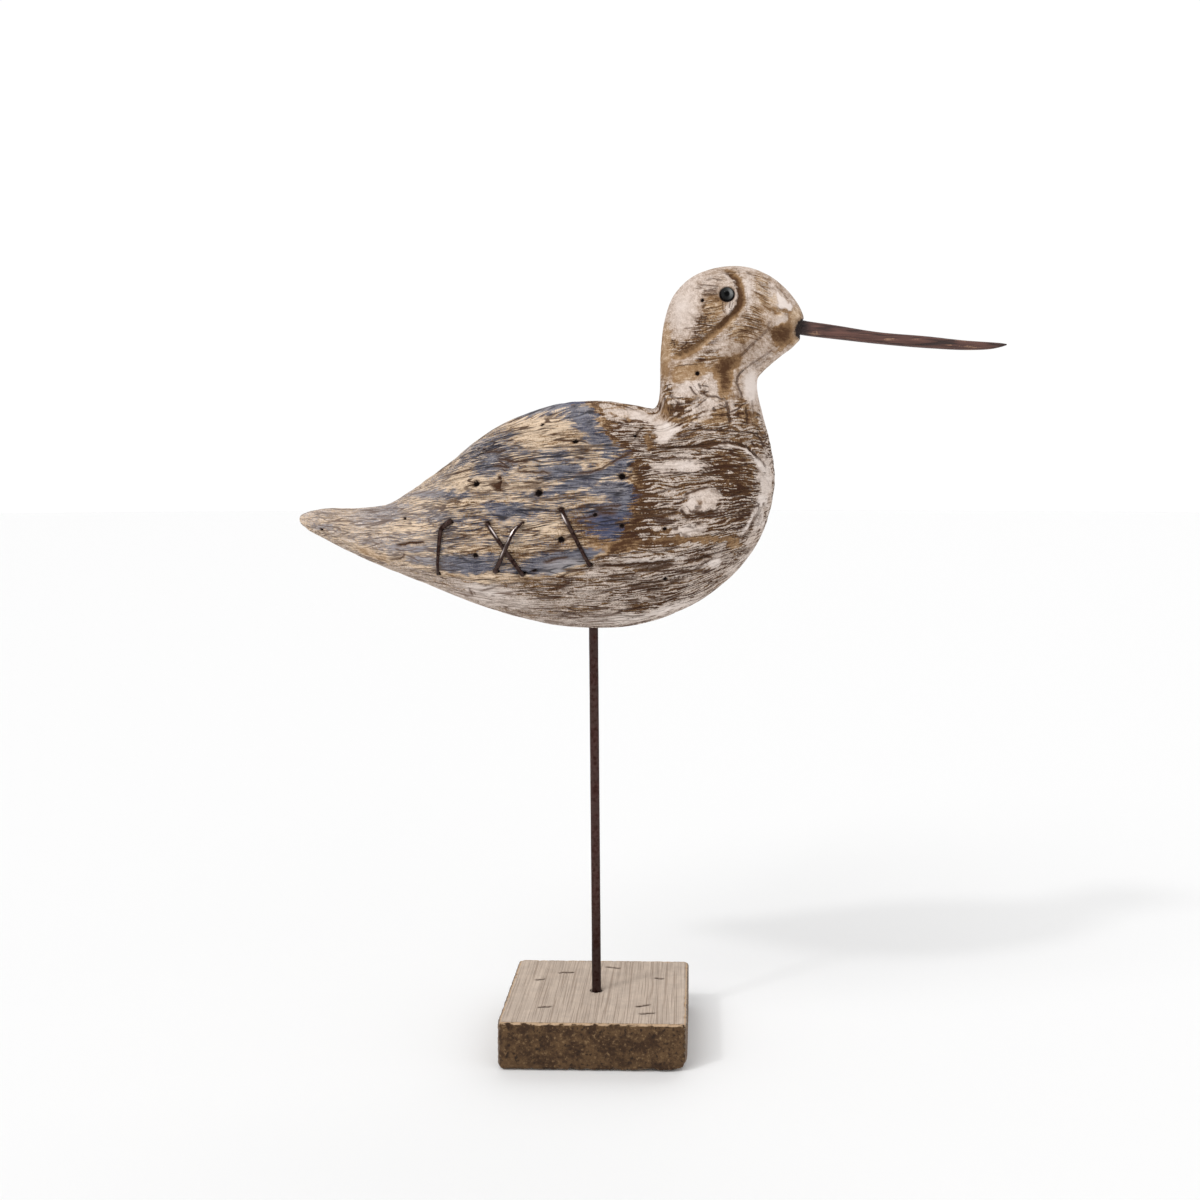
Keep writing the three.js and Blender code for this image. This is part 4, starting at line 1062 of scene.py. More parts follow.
HEAD_LINES = [
    ([(35.6, 62.6), (36, 60), (36.4, 57.4), (37, 54.4)], 0.4, 0.5, 1.0),
    ([(40.9, 61), (41.3, 58), (41.7, 54.4)], 0.3, 0.4, 0.9),
    ([(41.2, 71.1), (39.9, 70), (38.8, 68.7), (38.4, 67), (39, 65.8), (39.7, 64.2), (40.4, 62.2)],
     0.28, 0.4, 0.8),
    ([(42.7, 62.8), (42.9, 60), (43, 57.4)], 0.25, 0.15, 0.45),
    ([(25.6, 66.1), (26.3, 65), (26.8, 64.2), (27.8, 63.5)], 0.25, 0.3, 0.9),
    ([(29.9, 65.6), (29.6, 63.8), (30.6, 63.3), (32.6, 63.3), (34, 62.7), (35.8, 62.4)], 0.25, 0.3, 0.9),
    ([(27.8, 66.6), (28.7, 65.4)], 0.3, 0.2, 0.8), ([(31.8, 60.3), (32.7, 59.3)], 0.45, 0.3, 0.9),
    ([(33.4, 61.2), (34.6, 60.7), (36, 60.2)], 0.2, 0.2, 0.8),
    ([(19.6, 61), (24, 61.4), (27, 62.2), (29, 63.2)], 0.22, 0.3, 0.7),
    ([(19.8, 60), (23, 59.4), (26.8, 59.4)], 0.22, 0.3, 0.7),
    ([(20, 58.3), (22.4, 58), (25.4, 56.8)], 0.22, 0.3, 0.7),
    ([(27.4, 60.2), (29, 61.8), (30.4, 62.5)], 0.2, 0.25, 0.8),
    ([(21.6, 71.3), (25, 71.8), (28.4, 71.6)], 0.12, 0.15, 0.6),
    ([(48.8, 81), (46.8, 80.8), (45.6, 79.8), (44, 78.2), (42.8, 77.2), (41, 75.6), (40, 74.3),
      (38, 73.2)], 0.36, 0.4, 0.6),
    ([(48.8, 76.2), (46.2, 74.4), (44.1, 72.9), (42.2, 71.7), (40.2, 70.4)], 0.24, 0.3, 0.5),
    ([(47.6, 74), (45, 72), (43, 70.6)], 0.25, 0.2, 0.35),
    ([(44.8, 87.9), (46, 87), (47, 86.4), (48, 85.6), (49, 84.9)], 0.5, 0.35, 0.5),
    ([(48.6, 86.1), (50, 86.3), (51.2, 86), (52.6, 85.5)], 0.4, 0.3, 0.5),
    ([(50.8, 85.7), (52.2, 84.6), (52.5, 83.2), (52, 81.8)], 0.55, 0.3, 0.4),
    ([(46.9, 83), (46.6, 81.2), (47.6, 80.5)], 0.35, 0.3, 0.7),
    ([(48.4, 93.2), (50, 91.7), (51.4, 90.2), (52.4, 89)], 0.22, 0.2, 0.7),
    ([(45.2, 95.4), (46.8, 94.4), (47.4, 93)], 0.2, 0.15, 0.5),
    ([(40.6, 96.6), (42.4, 95.7)], 0.3, 0.2, 0.7),
    ([(42.8, 90.8), (44.4, 90), (46.6, 88.2)], 0.35, 0.25, 0.7),
    ([(44, 93.4), (45.4, 92), (46.6, 91.3)], 0.25, 0.2, 0.65),
    ([(42.2, 86.9), (44, 85.9)], 0.18, 0.15, 0.6), ([(42, 85.2), (44.4, 83.7)], 0.18, 0.15, 0.65),
    ([(39, 84.2), (41.8, 83.3)], 0.2, 0.15, 0.6),
    ([(41, 83.3), (42.8, 82.2), (45, 81.6)], 0.22, 0.2, 0.75),
    ([(41.3, 81.6), (42.8, 80.5)], 0.18, 0.15, 0.65), ([(42.8, 81.3), (44.8, 80.1)], 0.18, 0.15, 0.6),
    ([(30.8, 94.9), (33.6, 94.4)], 0.1, 0.15, 0.6), ([(29.4, 94.2), (31.6, 94.2)], 0.1, 0.1, 0.5),
    ([(32.6, 94.2), (34.4, 94)], 0.2, 0.15, 0.7),
    ([(27.8, 93), (30.4, 92.9), (33.6, 92.3)], 0.15, 0.2, 0.85),
    ([(27.1, 92), (29.1, 92.1)], 0.12, 0.1, 0.6), ([(30.2, 91.5), (33, 91.9)], 0.12, 0.15, 0.7),
    ([(29, 91.2), (32.8, 91.1)], 0.26, 0.2, 0.8),
    ([(28.6, 90), (31.2, 90), (33.4, 90.3)], 0.16, 0.2, 0.75),
    ([(29.7, 87.6), (29.1, 86.7), (29.3, 86.2)], 0.3, 0.25, 0.8),
    ([(28.6, 84.9), (28.9, 83.8), (28, 82.8), (27.8, 81.8)], 0.25, 0.25, 0.8),
    ([(29.9, 84.5), (29.5, 82.1)], 0.28, 0.25, 0.8), ([(27.8, 80.9), (29.6, 81.6)], 0.2, 0.2, 0.7),
    ([(29.8, 80.7), (31.6, 81.5)], 0.2, 0.2, 0.7), ([(25.8, 78.7), (28.4, 79)], 0.18, 0.2, 0.7),
    ([(28.1, 79.8), (29.1, 77.6)], 0.25, 0.2, 0.75), ([(23.8, 81.3), (26.6, 81.4)], 0.13, 0.1, 0.55),
    ([(26.8, 80.4), (27.5, 79.6)], 0.3, 0.2, 0.85), ([(36.3, 88), (36.1, 86.2)], 0.22, 0.15, 0.7),
    ([(34.4, 88.2), (34.4, 86), (35.1, 84.8)], 0.15, 0.15, 0.6),
    ([(20.8, 78.6), (21.5, 76.8)], 0.25, 0.2, 0.7),
]
# How white the wash is, by ovals and by patches: above 0 thicker, below 0 rubbed off to the brown wood.
HEAD_TOUCHES = [
    (18.8, 76, 1.7, 7.4, 0.05, -0.42), (38.8, 80, 2.8, 2.3, -0.1, -0.42), (26, 56.4, 7, 1, -0.06, -0.5),
    (39.6, 58.4, 2, 4, 0, -0.3), (43.4, 56.4, 1, 2.2, 0, -0.4), (30.6, 82, 2.4, 2.6, 0.3, -0.3),
    (24.6, 75.4, 4, 0.8, 0.35, -0.45), (21.4, 76.8, 1.4, 1.6, 0.2, -0.35), (48.2, 80.2, 1.4, 1.4, 0, -0.3),
    (54.2, 82.4, 1.5, 5, 0.15, -0.45), (51.6, 77.4, 3, 0.9, 0.8, -0.45), (45, 91.8, 2, 4.4, -1, -0.2),
    (48, 89, 1.2, 1.4, 0, -0.2), (43, 83.4, 3.4, 4.4, -0.3, -0.22), (36.8, 82.6, 1.6, 1.4, 0.8, -0.28),
    (22.8, 60.8, 3.2, 2, 0, 0.26), (31, 73.6, 3.4, 1.4, 0.1, -0.2), (19.4, 59.8, 1.4, 0.9, 0, -0.4),
    (37, 63.2, 0.7, 1.8, 0, -0.35), (36.6, 65, 0.5, 1.6, 0, -0.2), (20.6, 84, 1.4, 6, 0.1, -0.1),
    (26, 91, 7, 5, 0.3, 0.2), (24, 84.6, 4, 5, 0, 0.3), (50, 83.7, 1.8, 1.3, 0, 0.3),
    # The first oval here makes the front of the neck brightest white: wash, partly a painted highlight.
    (42.4, 66, 2.2, 4.4, -0.1, 0.65), (36.2, 95.2, 2.2, 1.8, -0.5, 0.22), (36.4, 86.6, 1.2, 1.7, 0, 0.45),
    (37.2, 59, 0.5, 4.6, -6, 0.4), (45.6, 60, 1, 4, 0, 0.35), (31.8, 66.8, 2, 3, -0.3, 0.1),
    (41.2, 89.6, 0.9, 6, 0.05, 0.28), (28, 73.4, 5, 0.8, 0.35, 0.16), (31.4, 55.2, 1.4, 0.7, 0, 0.5),
    (37.8, 90.4, 0.9, 4.4, 0, 0.25), (37.9, 69.4, 0.4, 1.8, 0, 0.2), (47.6, 92, 1, 1.6, -1, 0.12),
    (47.2, 86.5, 2.8, 0.8, -0.6, -0.5), (51, 86.2, 2.4, 0.6, -0.15, -0.5), (52.6, 83.6, 0.8, 2.2, 0, -0.5),
]
HEAD_PATCHES = [
    ([(31.4, 70.4), (33.4, 69), (37.3, 69.6), (38.8, 73.6), (35, 72.4)], 2.0, -0.85),
    ([(32.3, 70.2), (33.9, 63.6), (35.2, 63.4), (36.7, 66.6), (37.4, 70)], 0.9, -0.85),
    ([(34.4, 62.9), (35.8, 62.6), (35.9, 64.9), (34.5, 64.7)], 0.4, -0.6),
    ([(20.7, 65.9), (22.6, 66.1), (25.4, 67.3), (30.3, 67.5), (30.1, 70.5), (28.5, 72.1), (21.4, 71.5)],
     1.1, -0.5),
    ([(21, 64.6), (24, 63.9), (29.3, 64.1), (28.8, 65.9), (26, 67), (23.6, 66.8)], 0.6, 0.25),
    # A smooth white patch at the top of the face, part wash and part a painted highlight.
    ([(48.9, 91.5), (49.3, 87), (53.1, 86.1), (53.1, 87)], 0.35, 0.65),
    ([(48.4, 77.4), (51.6, 77.6), (53.3, 79.6), (52.3, 82.1), (50.2, 82.4), (48.5, 81.5)], 1.0, -0.95),
    ([(29.4, 84.4), (34, 84), (35, 86.4), (34.4, 89.2), (29.2, 90)], 1.6, -0.26),
    ([(31.2, 55.8), (36.4, 55.4), (35.9, 60), (32.4, 59.7)], 0.7, -0.55),
    ([(27.5, 57.8), (28.6, 57.2), (31.4, 58.8), (33.3, 61), (30.4, 62.7), (27.9, 60.8)], 0.5, 0.3),
]
# Where the head's bare wood is lighter, and below 0 darker.
HEAD_TONES = [
    (18.8, 76, 2, 8, 0.08, 0.2), (25, 69.4, 5.4, 3, 0, 0.08), (47, 89, 4.4, 6, -0.9, 0.22),
    (54.4, 82, 1.8, 6, 0.1, 0.35), (50, 80, 2.8, 2.4, 0.1, -0.3), (26, 56.2, 8, 1.4, -0.06, 0.15),
    (31.8, 87, 3, 3, 0, 0.2), (35.2, 67.8, 1.5, 3.6, 0.1, -0.36), (35, 71.4, 3, 1.6, 0.5, -0.24),
    (47.6, 86.2, 2.6, 1, -0.5, -0.15), (50.2, 83.8, 1.8, 1.5, 0, 0.6), (48, 89, 1.6, 2, 0, 0.1),
]
# Where the wood is furrowed and flaked; elsewhere on the head it is smooth.
HEAD_ROUGH = [
    (30.2, 81, 3.2, 4.2, 0.2, 1.1), (25, 77.2, 4, 1.3, 0.3, 0.8), (21.5, 76.6, 1.4, 1.8, 0, 0.8),
    (42.6, 83.2, 2.8, 4, -0.3, 0.35), (45, 91.6, 2.8, 4.4, -0.9, 0.3), (39.4, 58.6, 2.4, 4, 0, 1.0),
    (24.4, 59.8, 5.4, 3.2, 0, 1.0), (30.6, 73.4, 3.4, 1.8, 0.2, 0.65), (34, 57.6, 3, 2.6, 0, 0.8),
    (31.8, 87, 2.8, 3, 0, 0.5), (44, 56.4, 1.6, 3, 0, 0.7), (19.6, 64.6, 1.4, 3, 0, 0.7),
    (29.6, 65, 1.2, 2, 0, 0.5), (38.8, 80, 3, 2.6, 0, 0.4),
]


def weathered_head(points):
    """What the tools, the weather and the wash leave at every point of the head and neck: how deep the skin
    is cut back, in millimetres, and the fields that the wood's finish reads, some of which paint shade in the
    holes, the sockets and the groove and highlights on the face and neck. Strokes run level on the neck
    and fall towards the bill on the face. Near the joint all of it turns into what the body has there."""
    x, y, z = np.moveaxis(points, -1, 0)
    seen = soft_step(1.5, -1.5, y)
    alike = 0.6 + 0.4 * seen
    lean = radians(-24) * soft_step(32, 46, x) * soft_step(70, 84, z)
    off_x, off_z = x - FACE_MIDDLE[0], z - FACE_MIDDLE[1]
    turned_x = FACE_MIDDLE[0] + off_x * np.cos(lean) + off_z * np.sin(lean)
    turned_z = FACE_MIDDLE[1] + off_z * np.cos(lean) - off_x * np.sin(lean)
    grain = body_grain(turned_x, y, turned_z)
    cloud = layered(points * 0.12, 161)
    ridges = layered(grain * (0.08, 0.42, 0.42), 131, 2)
    furrow = field(grain * (0.14, 0.5, 0.5), 141)
    broken = soft_step(0.0, 0.3, field(grain * (0.1, 0.3, 0.3), 142))
    wobble = 0.45 * field(points * 0.7, 171)
    warped_x = x + wobble + 2.5 * (1 - seen) * field(points * 0.13, 173)
    warped_z = z + 0.45 * field(points * 0.7, 172) + 2 * (1 - seen) * field(points * 0.13, 174)
    line_x, line_z = x + 0.3 * wobble, z + 0.12 * field(points * 0.7, 172)
    white = (touches(warped_x, warped_z, HEAD_TOUCHES) + patches(warped_x, warped_z, HEAD_PATCHES)) * alike
    rough = np.clip(0.14 + 0.1 * cloud + touches(x, z, HEAD_ROUGH), 0, 1)
    gap, along = beside(x, z, curve_through(CHEEK_LINE)(np.linspace(0, len(CHEEK_LINE) - 1, 60)))
    fade = soft_step(0, 0.12, along) * soft_step(1, 0.93, along)
    torn = gap + 0.4 * layered(points * 0.9, 191) * (gap < 0.5)
    steep = soft_step(-1.2, -0.75, torn)
    groove = np.where(gap < 0, np.minimum(steep, 1.25 * bell(gap / 1.15)), bell(gap / 0.75)) * fade
    rough = rough * (1 - 0.85 * soft_step(0.15, 0.5, groove))
    holes, hole_gap = pricks(points, HEAD_HOLES)
    crack, crack_gap, crack_power = carved_lines(line_x, line_z, HEAD_LINES, 0.4 + 0.6 * seen)
    mouth = (np.abs(y) / MOUTH_HALF_WIDTH) ** 3 + (np.abs(z - MOUTH_HEIGHT) / MOUTH_HALF_HEIGHT) ** 3
    in_mouth = 2.7 * (1 - mouth ** (1 / 3)) + 0.14 * field(points * 0.8, 193)
    in_mouth = np.where(x > MOUTH_FROM, in_mouth, -9)
    # The recess round the bill's root is painted dark, as shade, darkest deep within it.
    hole_gap = np.minimum(hole_gap, np.maximum(0.99 - in_mouth / 1.2, 0.86))
    eye_gap = np.hypot(x - EYE[0], z - EYE[1])
    # A thin dark ring round the eye bead is painted as shade.
    hole_gap = np.minimum(hole_gap, 1 + (eye_gap - 2.1) / 0.5)
    neck_hollow = bell((x - 35.9 - 0.25 * (z - 70)) / 1.9, (z - 70) / 3.6)
    lump = bell((x - 50.1) / 1.6, (z - 83.8) / 1.4)
    pit = bell((x - 49.6) / 2.2, (z - 80) / 1.8)
    cut = 0.14 + rough * (0.26 * broken * bell(furrow / 0.3) - 0.1 * ridges) + 0.12 * np.clip(-white, 0, 1)
    cut = cut + holes + crack + 0.85 * groove + MOUTH_DEPTH * soft_step(-0.3, 1.1, in_mouth)
    cut = cut + EYE_HOLLOW_DEPTH * soft_step(EYE_HOLLOW_RADIUS, EYE_HOLLOW_RADIUS - 0.25, eye_gap)
    cut = cut + (0.6 * neck_hollow + 0.3 * pit - 0.4 * lump) * alike
    wash = 0.66 + 0.12 * cloud + 0.04 * ridges + 0.9 * white - 0.95 * groove
    tone = 0.42 + 0.15 * cloud + touches(warped_x, warped_z, HEAD_TONES) * alike
    tone = tone - groove * (0.28 - 0.38 * soft_step(0.5, 0.78, along))
    # Darker next to the groove's inner wall: painted shade of the step.
    tone = tone - (0.3 - 0.15 * soft_step(0.5, 0.8, along)) * fade * bell((torn + 0.5) / 0.5)
    # At the foot of that wall a dark line is painted as the step's shadow; it shares the line fields with the
    # carved lines.
    step_shadow_gap = (torn + 0.95) / 0.36
    nearer = np.abs(step_shadow_gap) < np.abs(crack_gap)
    step_shadow_power = 0.6 * fade * (1 - 0.5 * soft_step(0.5, 0.75, along))
    crack_power = (0.8 - 0.25 * soft_step(40, 43, x) * soft_step(76, 79, z)) * crack_power
    fields = {
        "grain": grain, "wash": wash - 0.2 * rough, "blue": np.full(x.shape, -1.0), "rough": rough,
        "tone": np.clip(tone, 0, 1), "hole": hole_gap, "line": np.where(nearer, step_shadow_gap, crack_gap),
        "power": np.where(nearer, step_shadow_power, crack_power), "furrow": furrow, "deep": broken * rough,
        "fine": 0.12 + 0.5 * soft_step(70, 80, z),
    }
    near = soft_step(2.6, 0.6, in_neck_block(points))
    body_like_cut, body_like = weathered_body(points)
    for label, values in fields.items():
        share = near[..., None] if values.ndim > 2 else near
        fields[label] = values + (body_like[label] - values) * share
    return cut + (body_like_cut - cut) * near, fields


# The drilled socket: two places on its middle line, its radius and its depth.
SOCKET_FROM, SOCKET_TO = np.array([48.7, 0, 83.6]), np.array([60.7, 0, 81.8])
SOCKET_RADIUS, SOCKET_DEPTH = 2.6, 6.0
FACE_FROM = 50
head_skin = carved_grid(
    HEAD_ROWS, HEAD_COLUMNS, joint_step, lambda turn: 0 * turn + LAST_RIB,
    [np.array(hole[:3]) for hole in HEAD_HOLES],
)
head_cut, head_fields = weathered_head(head_skin)
head_carved = head_skin - outward(head_skin) * head_cut[..., None]
drill = (SOCKET_TO - SOCKET_FROM) / np.linalg.norm(SOCKET_TO - SOCKET_FROM)
off_drill = head_skin - SOCKET_FROM
off_drill = np.linalg.norm(off_drill - (off_drill @ drill)[..., None] * drill, axis=-1)
in_face = head_skin[..., 0] > FACE_FROM
drilled = soft_step(SOCKET_RADIUS + 0.7, SOCKET_RADIUS - 0.3, off_drill) * in_face
head_carved -= drill * (SOCKET_DEPTH * drilled)[..., None]
# The drilled socket is painted dark, as shade, by the distance from the drill's line.
dark_socket = np.minimum(head_fields["hole"], off_drill / 3.1)
head_fields["hole"] = np.where(in_face, dark_socket, head_fields["hole"])
head_carved[-1] = head_carved[-2].mean(0)
points, quads, fields = with_joint_face(head_carved, head_fields, 0)
head = make_piece("head_and_neck_block", points, quads, build_weathered_wood("whitewashed wood"), **fields)
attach(head, "root")
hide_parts("head_and_neck")


# The bill: a slim strip of stained wood, squared in section, straight for most of its length and
# turned up underneath at the tip. Its root is set in the recess in the face.
BILL_POWER = 2.8
BILL_RINGS, BILL_SIDES = 230, 48
# Places along the bill: x, the heights of its upper and lower edge, and half its width.
BILL_STATIONS = [
    (49.2, 85.7, 81.6, 1.9), (57.3, 84.3, 80.25, 1.9), (66, 82.95, 79.2, 1.8), (77, 81.2, 77.95, 1.65),
    (90, 80.05, 76.8, 1.5), (101, 78.85, 76.25, 1.3), (107.5, 78.4, 76.5, 0.95), (110.4, 78.15, 77.1, 0.6),
    (111.8, 77.95, 77.55, 0.25),
]


def bill_surface():
    """Rings along the bill: at each place an ellipse of squared() cos and sin, between the upper and the
    lower edge and as wide as the station says. The end rings close to a point."""
    station = curve_through(BILL_STATIONS)(np.linspace(0, len(BILL_STATIONS) - 1, BILL_RINGS))
    station[[0, -1], 3] = 0
    station[[0, -1], 1:3] = station[[0, -1], 1:3].mean(1, keepdims=True)
    turn = np.linspace(0, 2 * pi, BILL_SIDES, endpoint=False)
    high, wide = squared(np.cos(turn), BILL_POWER), squared(np.sin(turn), BILL_POWER)
    x, upper, lower, half = (column[:, None] for column in station.T)
    return np.stack([x + 0 * high, half * wide, (upper + lower) / 2 + (upper - lower) / 2 * high], -1)


def build_stained_wood():
    """Hard thin wood stained red-brown: fine dark streaks along it, tan scuffs on its lower edge and face."""
    material, tree = new_material("stained bill wood")
    ridge, furrow, grit, _ = use_group(
        tree, OPEN_GRAIN, Grain=stored(tree, "grain"), Along=0.12, Across=1.6, Waver=0.4
    )
    colour = over(ridge, light(46, 23, 19), light(104, 68, 58))
    colour = over(furrow * 0.7, colour, light(38, 22, 20))
    colour = over(worn(stored(tree, "scuff"), ridge, grit, 0.9, 0.14) * 0.75, colour, light(160, 124, 98))
    return finish_material(material, {
        # Darker where the mesh says so.
        "Base Color": over(stored(tree, "soil"), colour, light(34, 20, 18)),
        "Roughness": grit * 0.2 + 0.5,
        "Normal": bumped(ridge - furrow, 0.7, 0.00015),
    })


# Scuffs low on the bill, as ovals in side view.
SCUFFS = [
    (75, 79.6, 2.6, 0.5, 0, 0.3), (80, 79.4, 2, 0.5, 0, 0.35), (97, 77.6, 2.4, 0.5, 0, 0.3),
    (101, 77.2, 3, 0.5, 0, 0.3), (60, 80.4, 3, 0.3, -0.13, 0.4), (85, 77.6, 4, 0.3, -0.1, 0.3),
]
bill_skin = bill_surface()
x, y, z = np.moveaxis(bill_skin, -1, 0)
streaks = field(bill_skin * (0.1, 1.1, 1.1), 201)
scuff = 0.06 + 0.12 * soft_step(85, 100, x) + 0.24 * layered(bill_skin * (0.16, 0.7, 0.7), 211)
scuff = scuff + 0.1 * streaks + touches(x, z, SCUFFS)
bill_points = bill_skin - outward(bill_skin) * (0.04 + 0.07 * soft_step(-0.2, -0.7, streaks))[..., None]
bill_points[[0, -1]] = bill_skin[[0, -1]]
bill = ring_piece(
    "bill_strip", bill_points + (0, 0, BELLY), build_stained_wood(), grain=bill_skin, scuff=scuff,
    # Darker at the root, painted shade in the socket, and towards the tip.
    soil=soft_step(59.5, 56.5, x) * 0.8 + 0.6 * soft_step(107, 111, x),
)
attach(bill, "root")
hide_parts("bill")


# The eyes: two small glass beads, black in the middle, with a slate-grey reflection painted on the ring
# between pupil and edge and a painted highlight on one side of it, pressed into the wood on both sides of the
# head.
EYE_RINGS, EYE_SIDES = 30, 48


def bead_surface(centre, radius, side):
    """A ball turned about the line across the bird: rings of r sin(a) about it at r cos(a) along it, with a
    shallow step, exp(-((a - 0.8) / 0.12)^2), between the pupil and the rim. Also how strongly a slate-grey
    reflection is painted at each point of the rim, strongest on one side as a painted highlight."""
    lean = np.linspace(0, pi, EYE_RINGS)[:, None]
    turn = np.linspace(0, 2 * pi, EYE_SIDES, endpoint=False)[None]
    swell = radius * (1 - 0.035 * bell((lean - 0.8) / 0.12))
    out = swell * np.sin(lean)
    ball = [out * np.cos(turn), side * swell * np.cos(lean) + 0 * turn, out * np.sin(turn)]
    # A slate-grey reflection painted on the ring between pupil and edge, brightest on one side as a painted
    # highlight.
    rim = soft_step(0.3, 0.5, np.sin(lean)) * soft_step(0.95, 0.75, np.sin(lean))
    to_highlight_side = (turn + pi) % (2 * pi) - pi - 0.25
    return np.stack(ball, -1) + centre, rim * (0.06 + 0.94 * bell(to_highlight_side / 0.95))


def build_bead_glass():
    """Black glass with a clear polish: a slate-grey reflection painted as a ring between the pupil and the
    edge, faintly clouded.
    """
    material, tree = new_material("black bead glass")
    cloud = noise(place(tree, "TexCoord", {}, "Object"), 900.0, 2.0)
    painted_reflection_colour = over(cloud, light(108, 110, 110), light(146, 147, 146))
    return finish_material(material, {
        "Base Color": over(stored(tree, "rim"), light(4, 4, 5), painted_reflection_colour),
        "Roughness": cloud * 0.12 + 0.08,
        "Specular IOR Level": 0.03,
        "Coat Weight": 0.05,
        "Coat Roughness": 0.03,
    })


bead_glass = build_bead_glass()
for side, node in ((-1, "eye_right"), (1, "eye_left")):
    low, high = (np.array(corner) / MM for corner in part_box(node))
    eye_points, rim = bead_surface((low + high) / 2, (high - low)[2] / 2, side)
    eye = ring_piece("bead_" + node, eye_points, bead_glass, rim=rim)
    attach(eye, "root")
    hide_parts(node)


# The wire stitches: four short lengths of blackened iron wire, bent like staples and pushed into
# the wood across the wing. Two of them cross, and the rear one has a hooked upper end. Each has its
# name, its route in side view, its hump over another wire, its taper, and the side and the stretch
# where a highlight is painted on it.
STITCHES = [
    ("wire_stitch_rear", [(-41.9, 15.9), (-40.9, 23.5), (-40, 28.2), (-37.8, 30.1)], 0, 0.4, (1, 0.03, 0.14)),
    ("wire_stitch_cross_under", [(-27.4, 29.6), (-18.4, 16.3)], 0, 0.1, (1, 0.06, 0.34)),
    ("wire_stitch_cross_over", [(-25.6, 17), (-22.5, 23.2), (-19.8, 28.2), (-17.9, 30)], 1.2, -0.1,
     (1, 0.2, 0.8)),
    ("wire_stitch_front", [(-7.7, 33.4), (-0.4, 18.8)], 0, -0.15, (-1, 0.06, 0.3)),
]
WIRE_RADIUS = 0.56
WIRE_LIFT = 0.5
WIRE_LEG = 2.4
WIRE_SIDES = 20
WIRE_RINGS = 120
STITCH_STEPS = 24


def stitch_route(places, hump):
    """A stitch's middle line: over the skin between its ends, lifted by nearly its radius and by
    hump * exp(-((s - 0.5) / 0.16)^2) where it crosses another wire, and straight in at both ends."""
    share = np.linspace(0, 1, STITCH_STEPS)
    if len(places) == 2:
        run = np.array(places[0]) + (np.array(places[1]) - places[0]) * share[:, None]
    else:
        run = curve_through(places)(share * (len(places) - 1))
    skin = -half_width_at(run[:, 0], run[:, 1])
    sag = 0.35 * bell(np.minimum(share, 1 - share) / 0.05)
    y = skin - WIRE_LIFT - hump * bell((share - 0.5) / 0.16) + sag
    on_skin = np.stack([run[:, 0], y, run[:, 1]], -1)
    legs = [on_skin[end] + (0, WIRE_LEG, 0) for end in (0, -1)]
    knots = np.vstack([legs[0], on_skin, legs[1]])
    return curve_through(knots)(np.linspace(0, len(knots) - 1, WIRE_RINGS))


wire_steel = build_burnt_steel("blackened wire", light(28, 14, 11), light(64, 42, 36), 0.25)
for number, (name, places, hump, taper, (turned, highlight_from, highlight_to)) in enumerate(STITCHES):
    route = stitch_route(places, hump)
    share = np.linspace(0, 1, WIRE_RINGS)[:, None]
    thick = round_ends(WIRE_RINGS, 4, WIRE_RADIUS) * (1 + taper * np.linspace(-1, 1, WIRE_RINGS))
    if name == "wire_stitch_cross_over":
        thick = thick * (1 - 0.55 * soft_step(0.74, 0.93, share[:, 0]))
    run = np.array(places[-1]) - places[0]
    across = np.cross((run[0], 0, run[1]), (0, 1, 0))
    wire, wire_out = carry_round(route, thick, across, WIRE_SIDES)
    uneven = 0.05 * layered(wire * 0.8, 221 + number) * (thick > 0.1)[:, None]
    wire = wire - wire_out * uneven[..., None]
    # A near-white highlight is painted on the side of the wire that faces the light, over the stretch that
    # STITCHES gives.
    to_light = turned * 0.5 * across / np.linalg.norm(across) - (0, 0.86, 0)
    rubbed = soft_step(0.86, 0.98, wire_out @ to_light) * soft_step(highlight_from, highlight_from + 0.08, share)
    rubbed = rubbed * soft_step(highlight_to, highlight_to - 0.15, share)
    wire = ring_piece(name + "_iron", wire + (0, 0, BELLY), wire_steel, rubbed=rubbed)
    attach(wire, "root")
    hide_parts(name)


# The floor, the lights and the camera: a pale floor under a pale sky, one broad soft light from
# the upper left in front, and weaker ones from the right and from behind.
FLOOR_SIDES, FLOOR_RADIUS, FLOOR_DROP = 64, 6, 0.0002


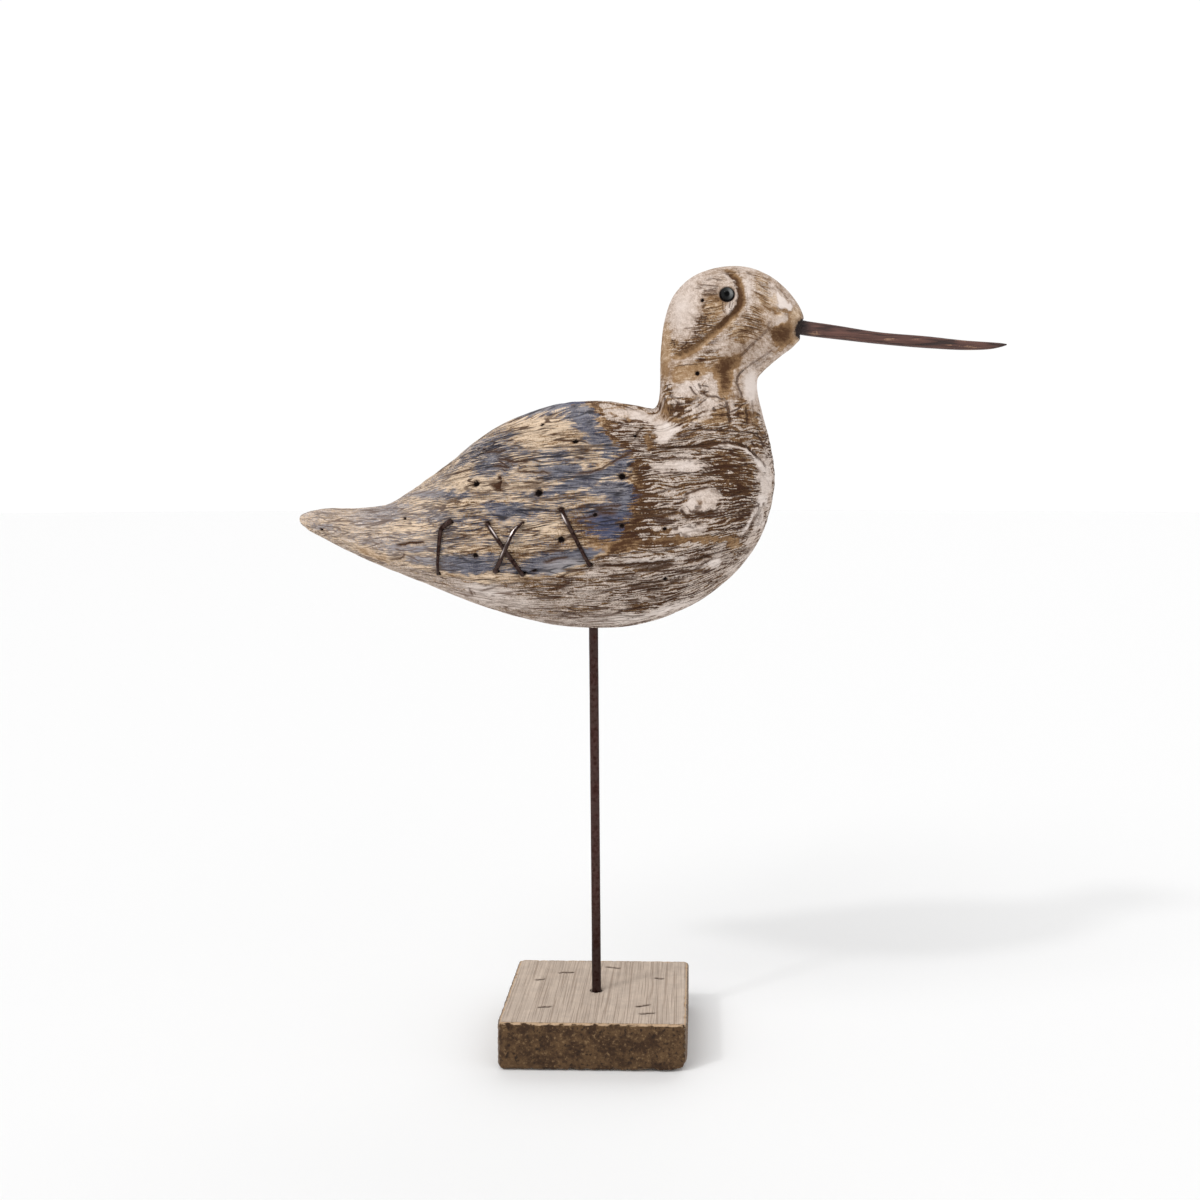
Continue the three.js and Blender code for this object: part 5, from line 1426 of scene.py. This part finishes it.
def build_floor():
    """A round plain floor: points at r cos(a), r sin(a) about its middle, and one face between them."""
    around = np.linspace(0, 2 * pi, FLOOR_SIDES, endpoint=False)
    flat = [FLOOR_RADIUS * np.cos(around), FLOOR_RADIUS * np.sin(around), np.full(FLOOR_SIDES, -FLOOR_DROP)]
    mesh = bpy.data.meshes.new("floor")
    mesh.from_pydata(np.stack(flat, -1).tolist(), [], [range(FLOOR_SIDES)])
    made = bpy.data.objects.new("floor", mesh)
    bpy.context.scene.collection.objects.link(made)
    look = {"Base Color": (0.9, 0.9, 0.9, 1), "Roughness": 0.9}
    mesh.materials.append(finish_material(new_material("pale floor")[0], look))
    return made


build_floor()


def soft_light(name, direction, spread, strength):
    """A broad far light that shines along a direction, as soft as its spread is wide, in degrees."""
    data = bpy.data.lights.new(name, "SUN")
    data.angle = radians(spread)
    data.energy = strength
    made = bpy.data.objects.new(name, data)
    made.location = (0, 0, 1)
    made.rotation_euler = Vector(direction).to_track_quat("-Z", "Y").to_euler()
    bpy.context.scene.collection.objects.link(made)


soft_light("key", (0.55, 0.75, -1.0), 40, 1.1)
soft_light("lamp", (0.75, 0.7, -1.0), 5, 0.45)
soft_light("fill", (-0.9, 0.8, -0.35), 70, 0.45)
soft_light("back", (-0.2, -1.0, -0.8), 60, 0.5)

# The sky lights the scene with SKY_LIGHT and shows SKY_SHOWN more behind it, so that white stays white.
SKY_LIGHT, SKY_SHOWN = 0.6, 0.42
world = bpy.data.worlds.new("pale sky")
bpy.context.scene.world = world
world.use_nodes = True
sky_tree = world.node_tree
seen_directly = place(sky_tree, "LightPath", {}, "Is Camera Ray")
shown = place(sky_tree, "Math", {0: seen_directly, 1: SKY_SHOWN, 2: SKY_LIGHT}, operation="MULTIPLY_ADD")
sky_tree.links.new(shown.socket, sky_tree.nodes["Background"].inputs["Strength"])
sky_tree.nodes["Background"].inputs["Color"].default_value = (1, 1, 1, 1)
bpy.context.scene.view_settings.view_transform = "Standard"

# The camera looks from in front and a little above.
camera = bpy.data.objects.new("camera", bpy.data.cameras.new("camera"))
camera.location = (0.0280, -0.4020, 0.1599)
camera.rotation_euler = (radians(85.0), 0, radians(1.77))
camera.data.lens = 43.58
camera.data.sensor_width = 36
camera.data.shift_x = -53 / 1200
bpy.context.scene.collection.objects.link(camera)
bpy.context.scene.camera = camera

bpy.context.view_layer.update()
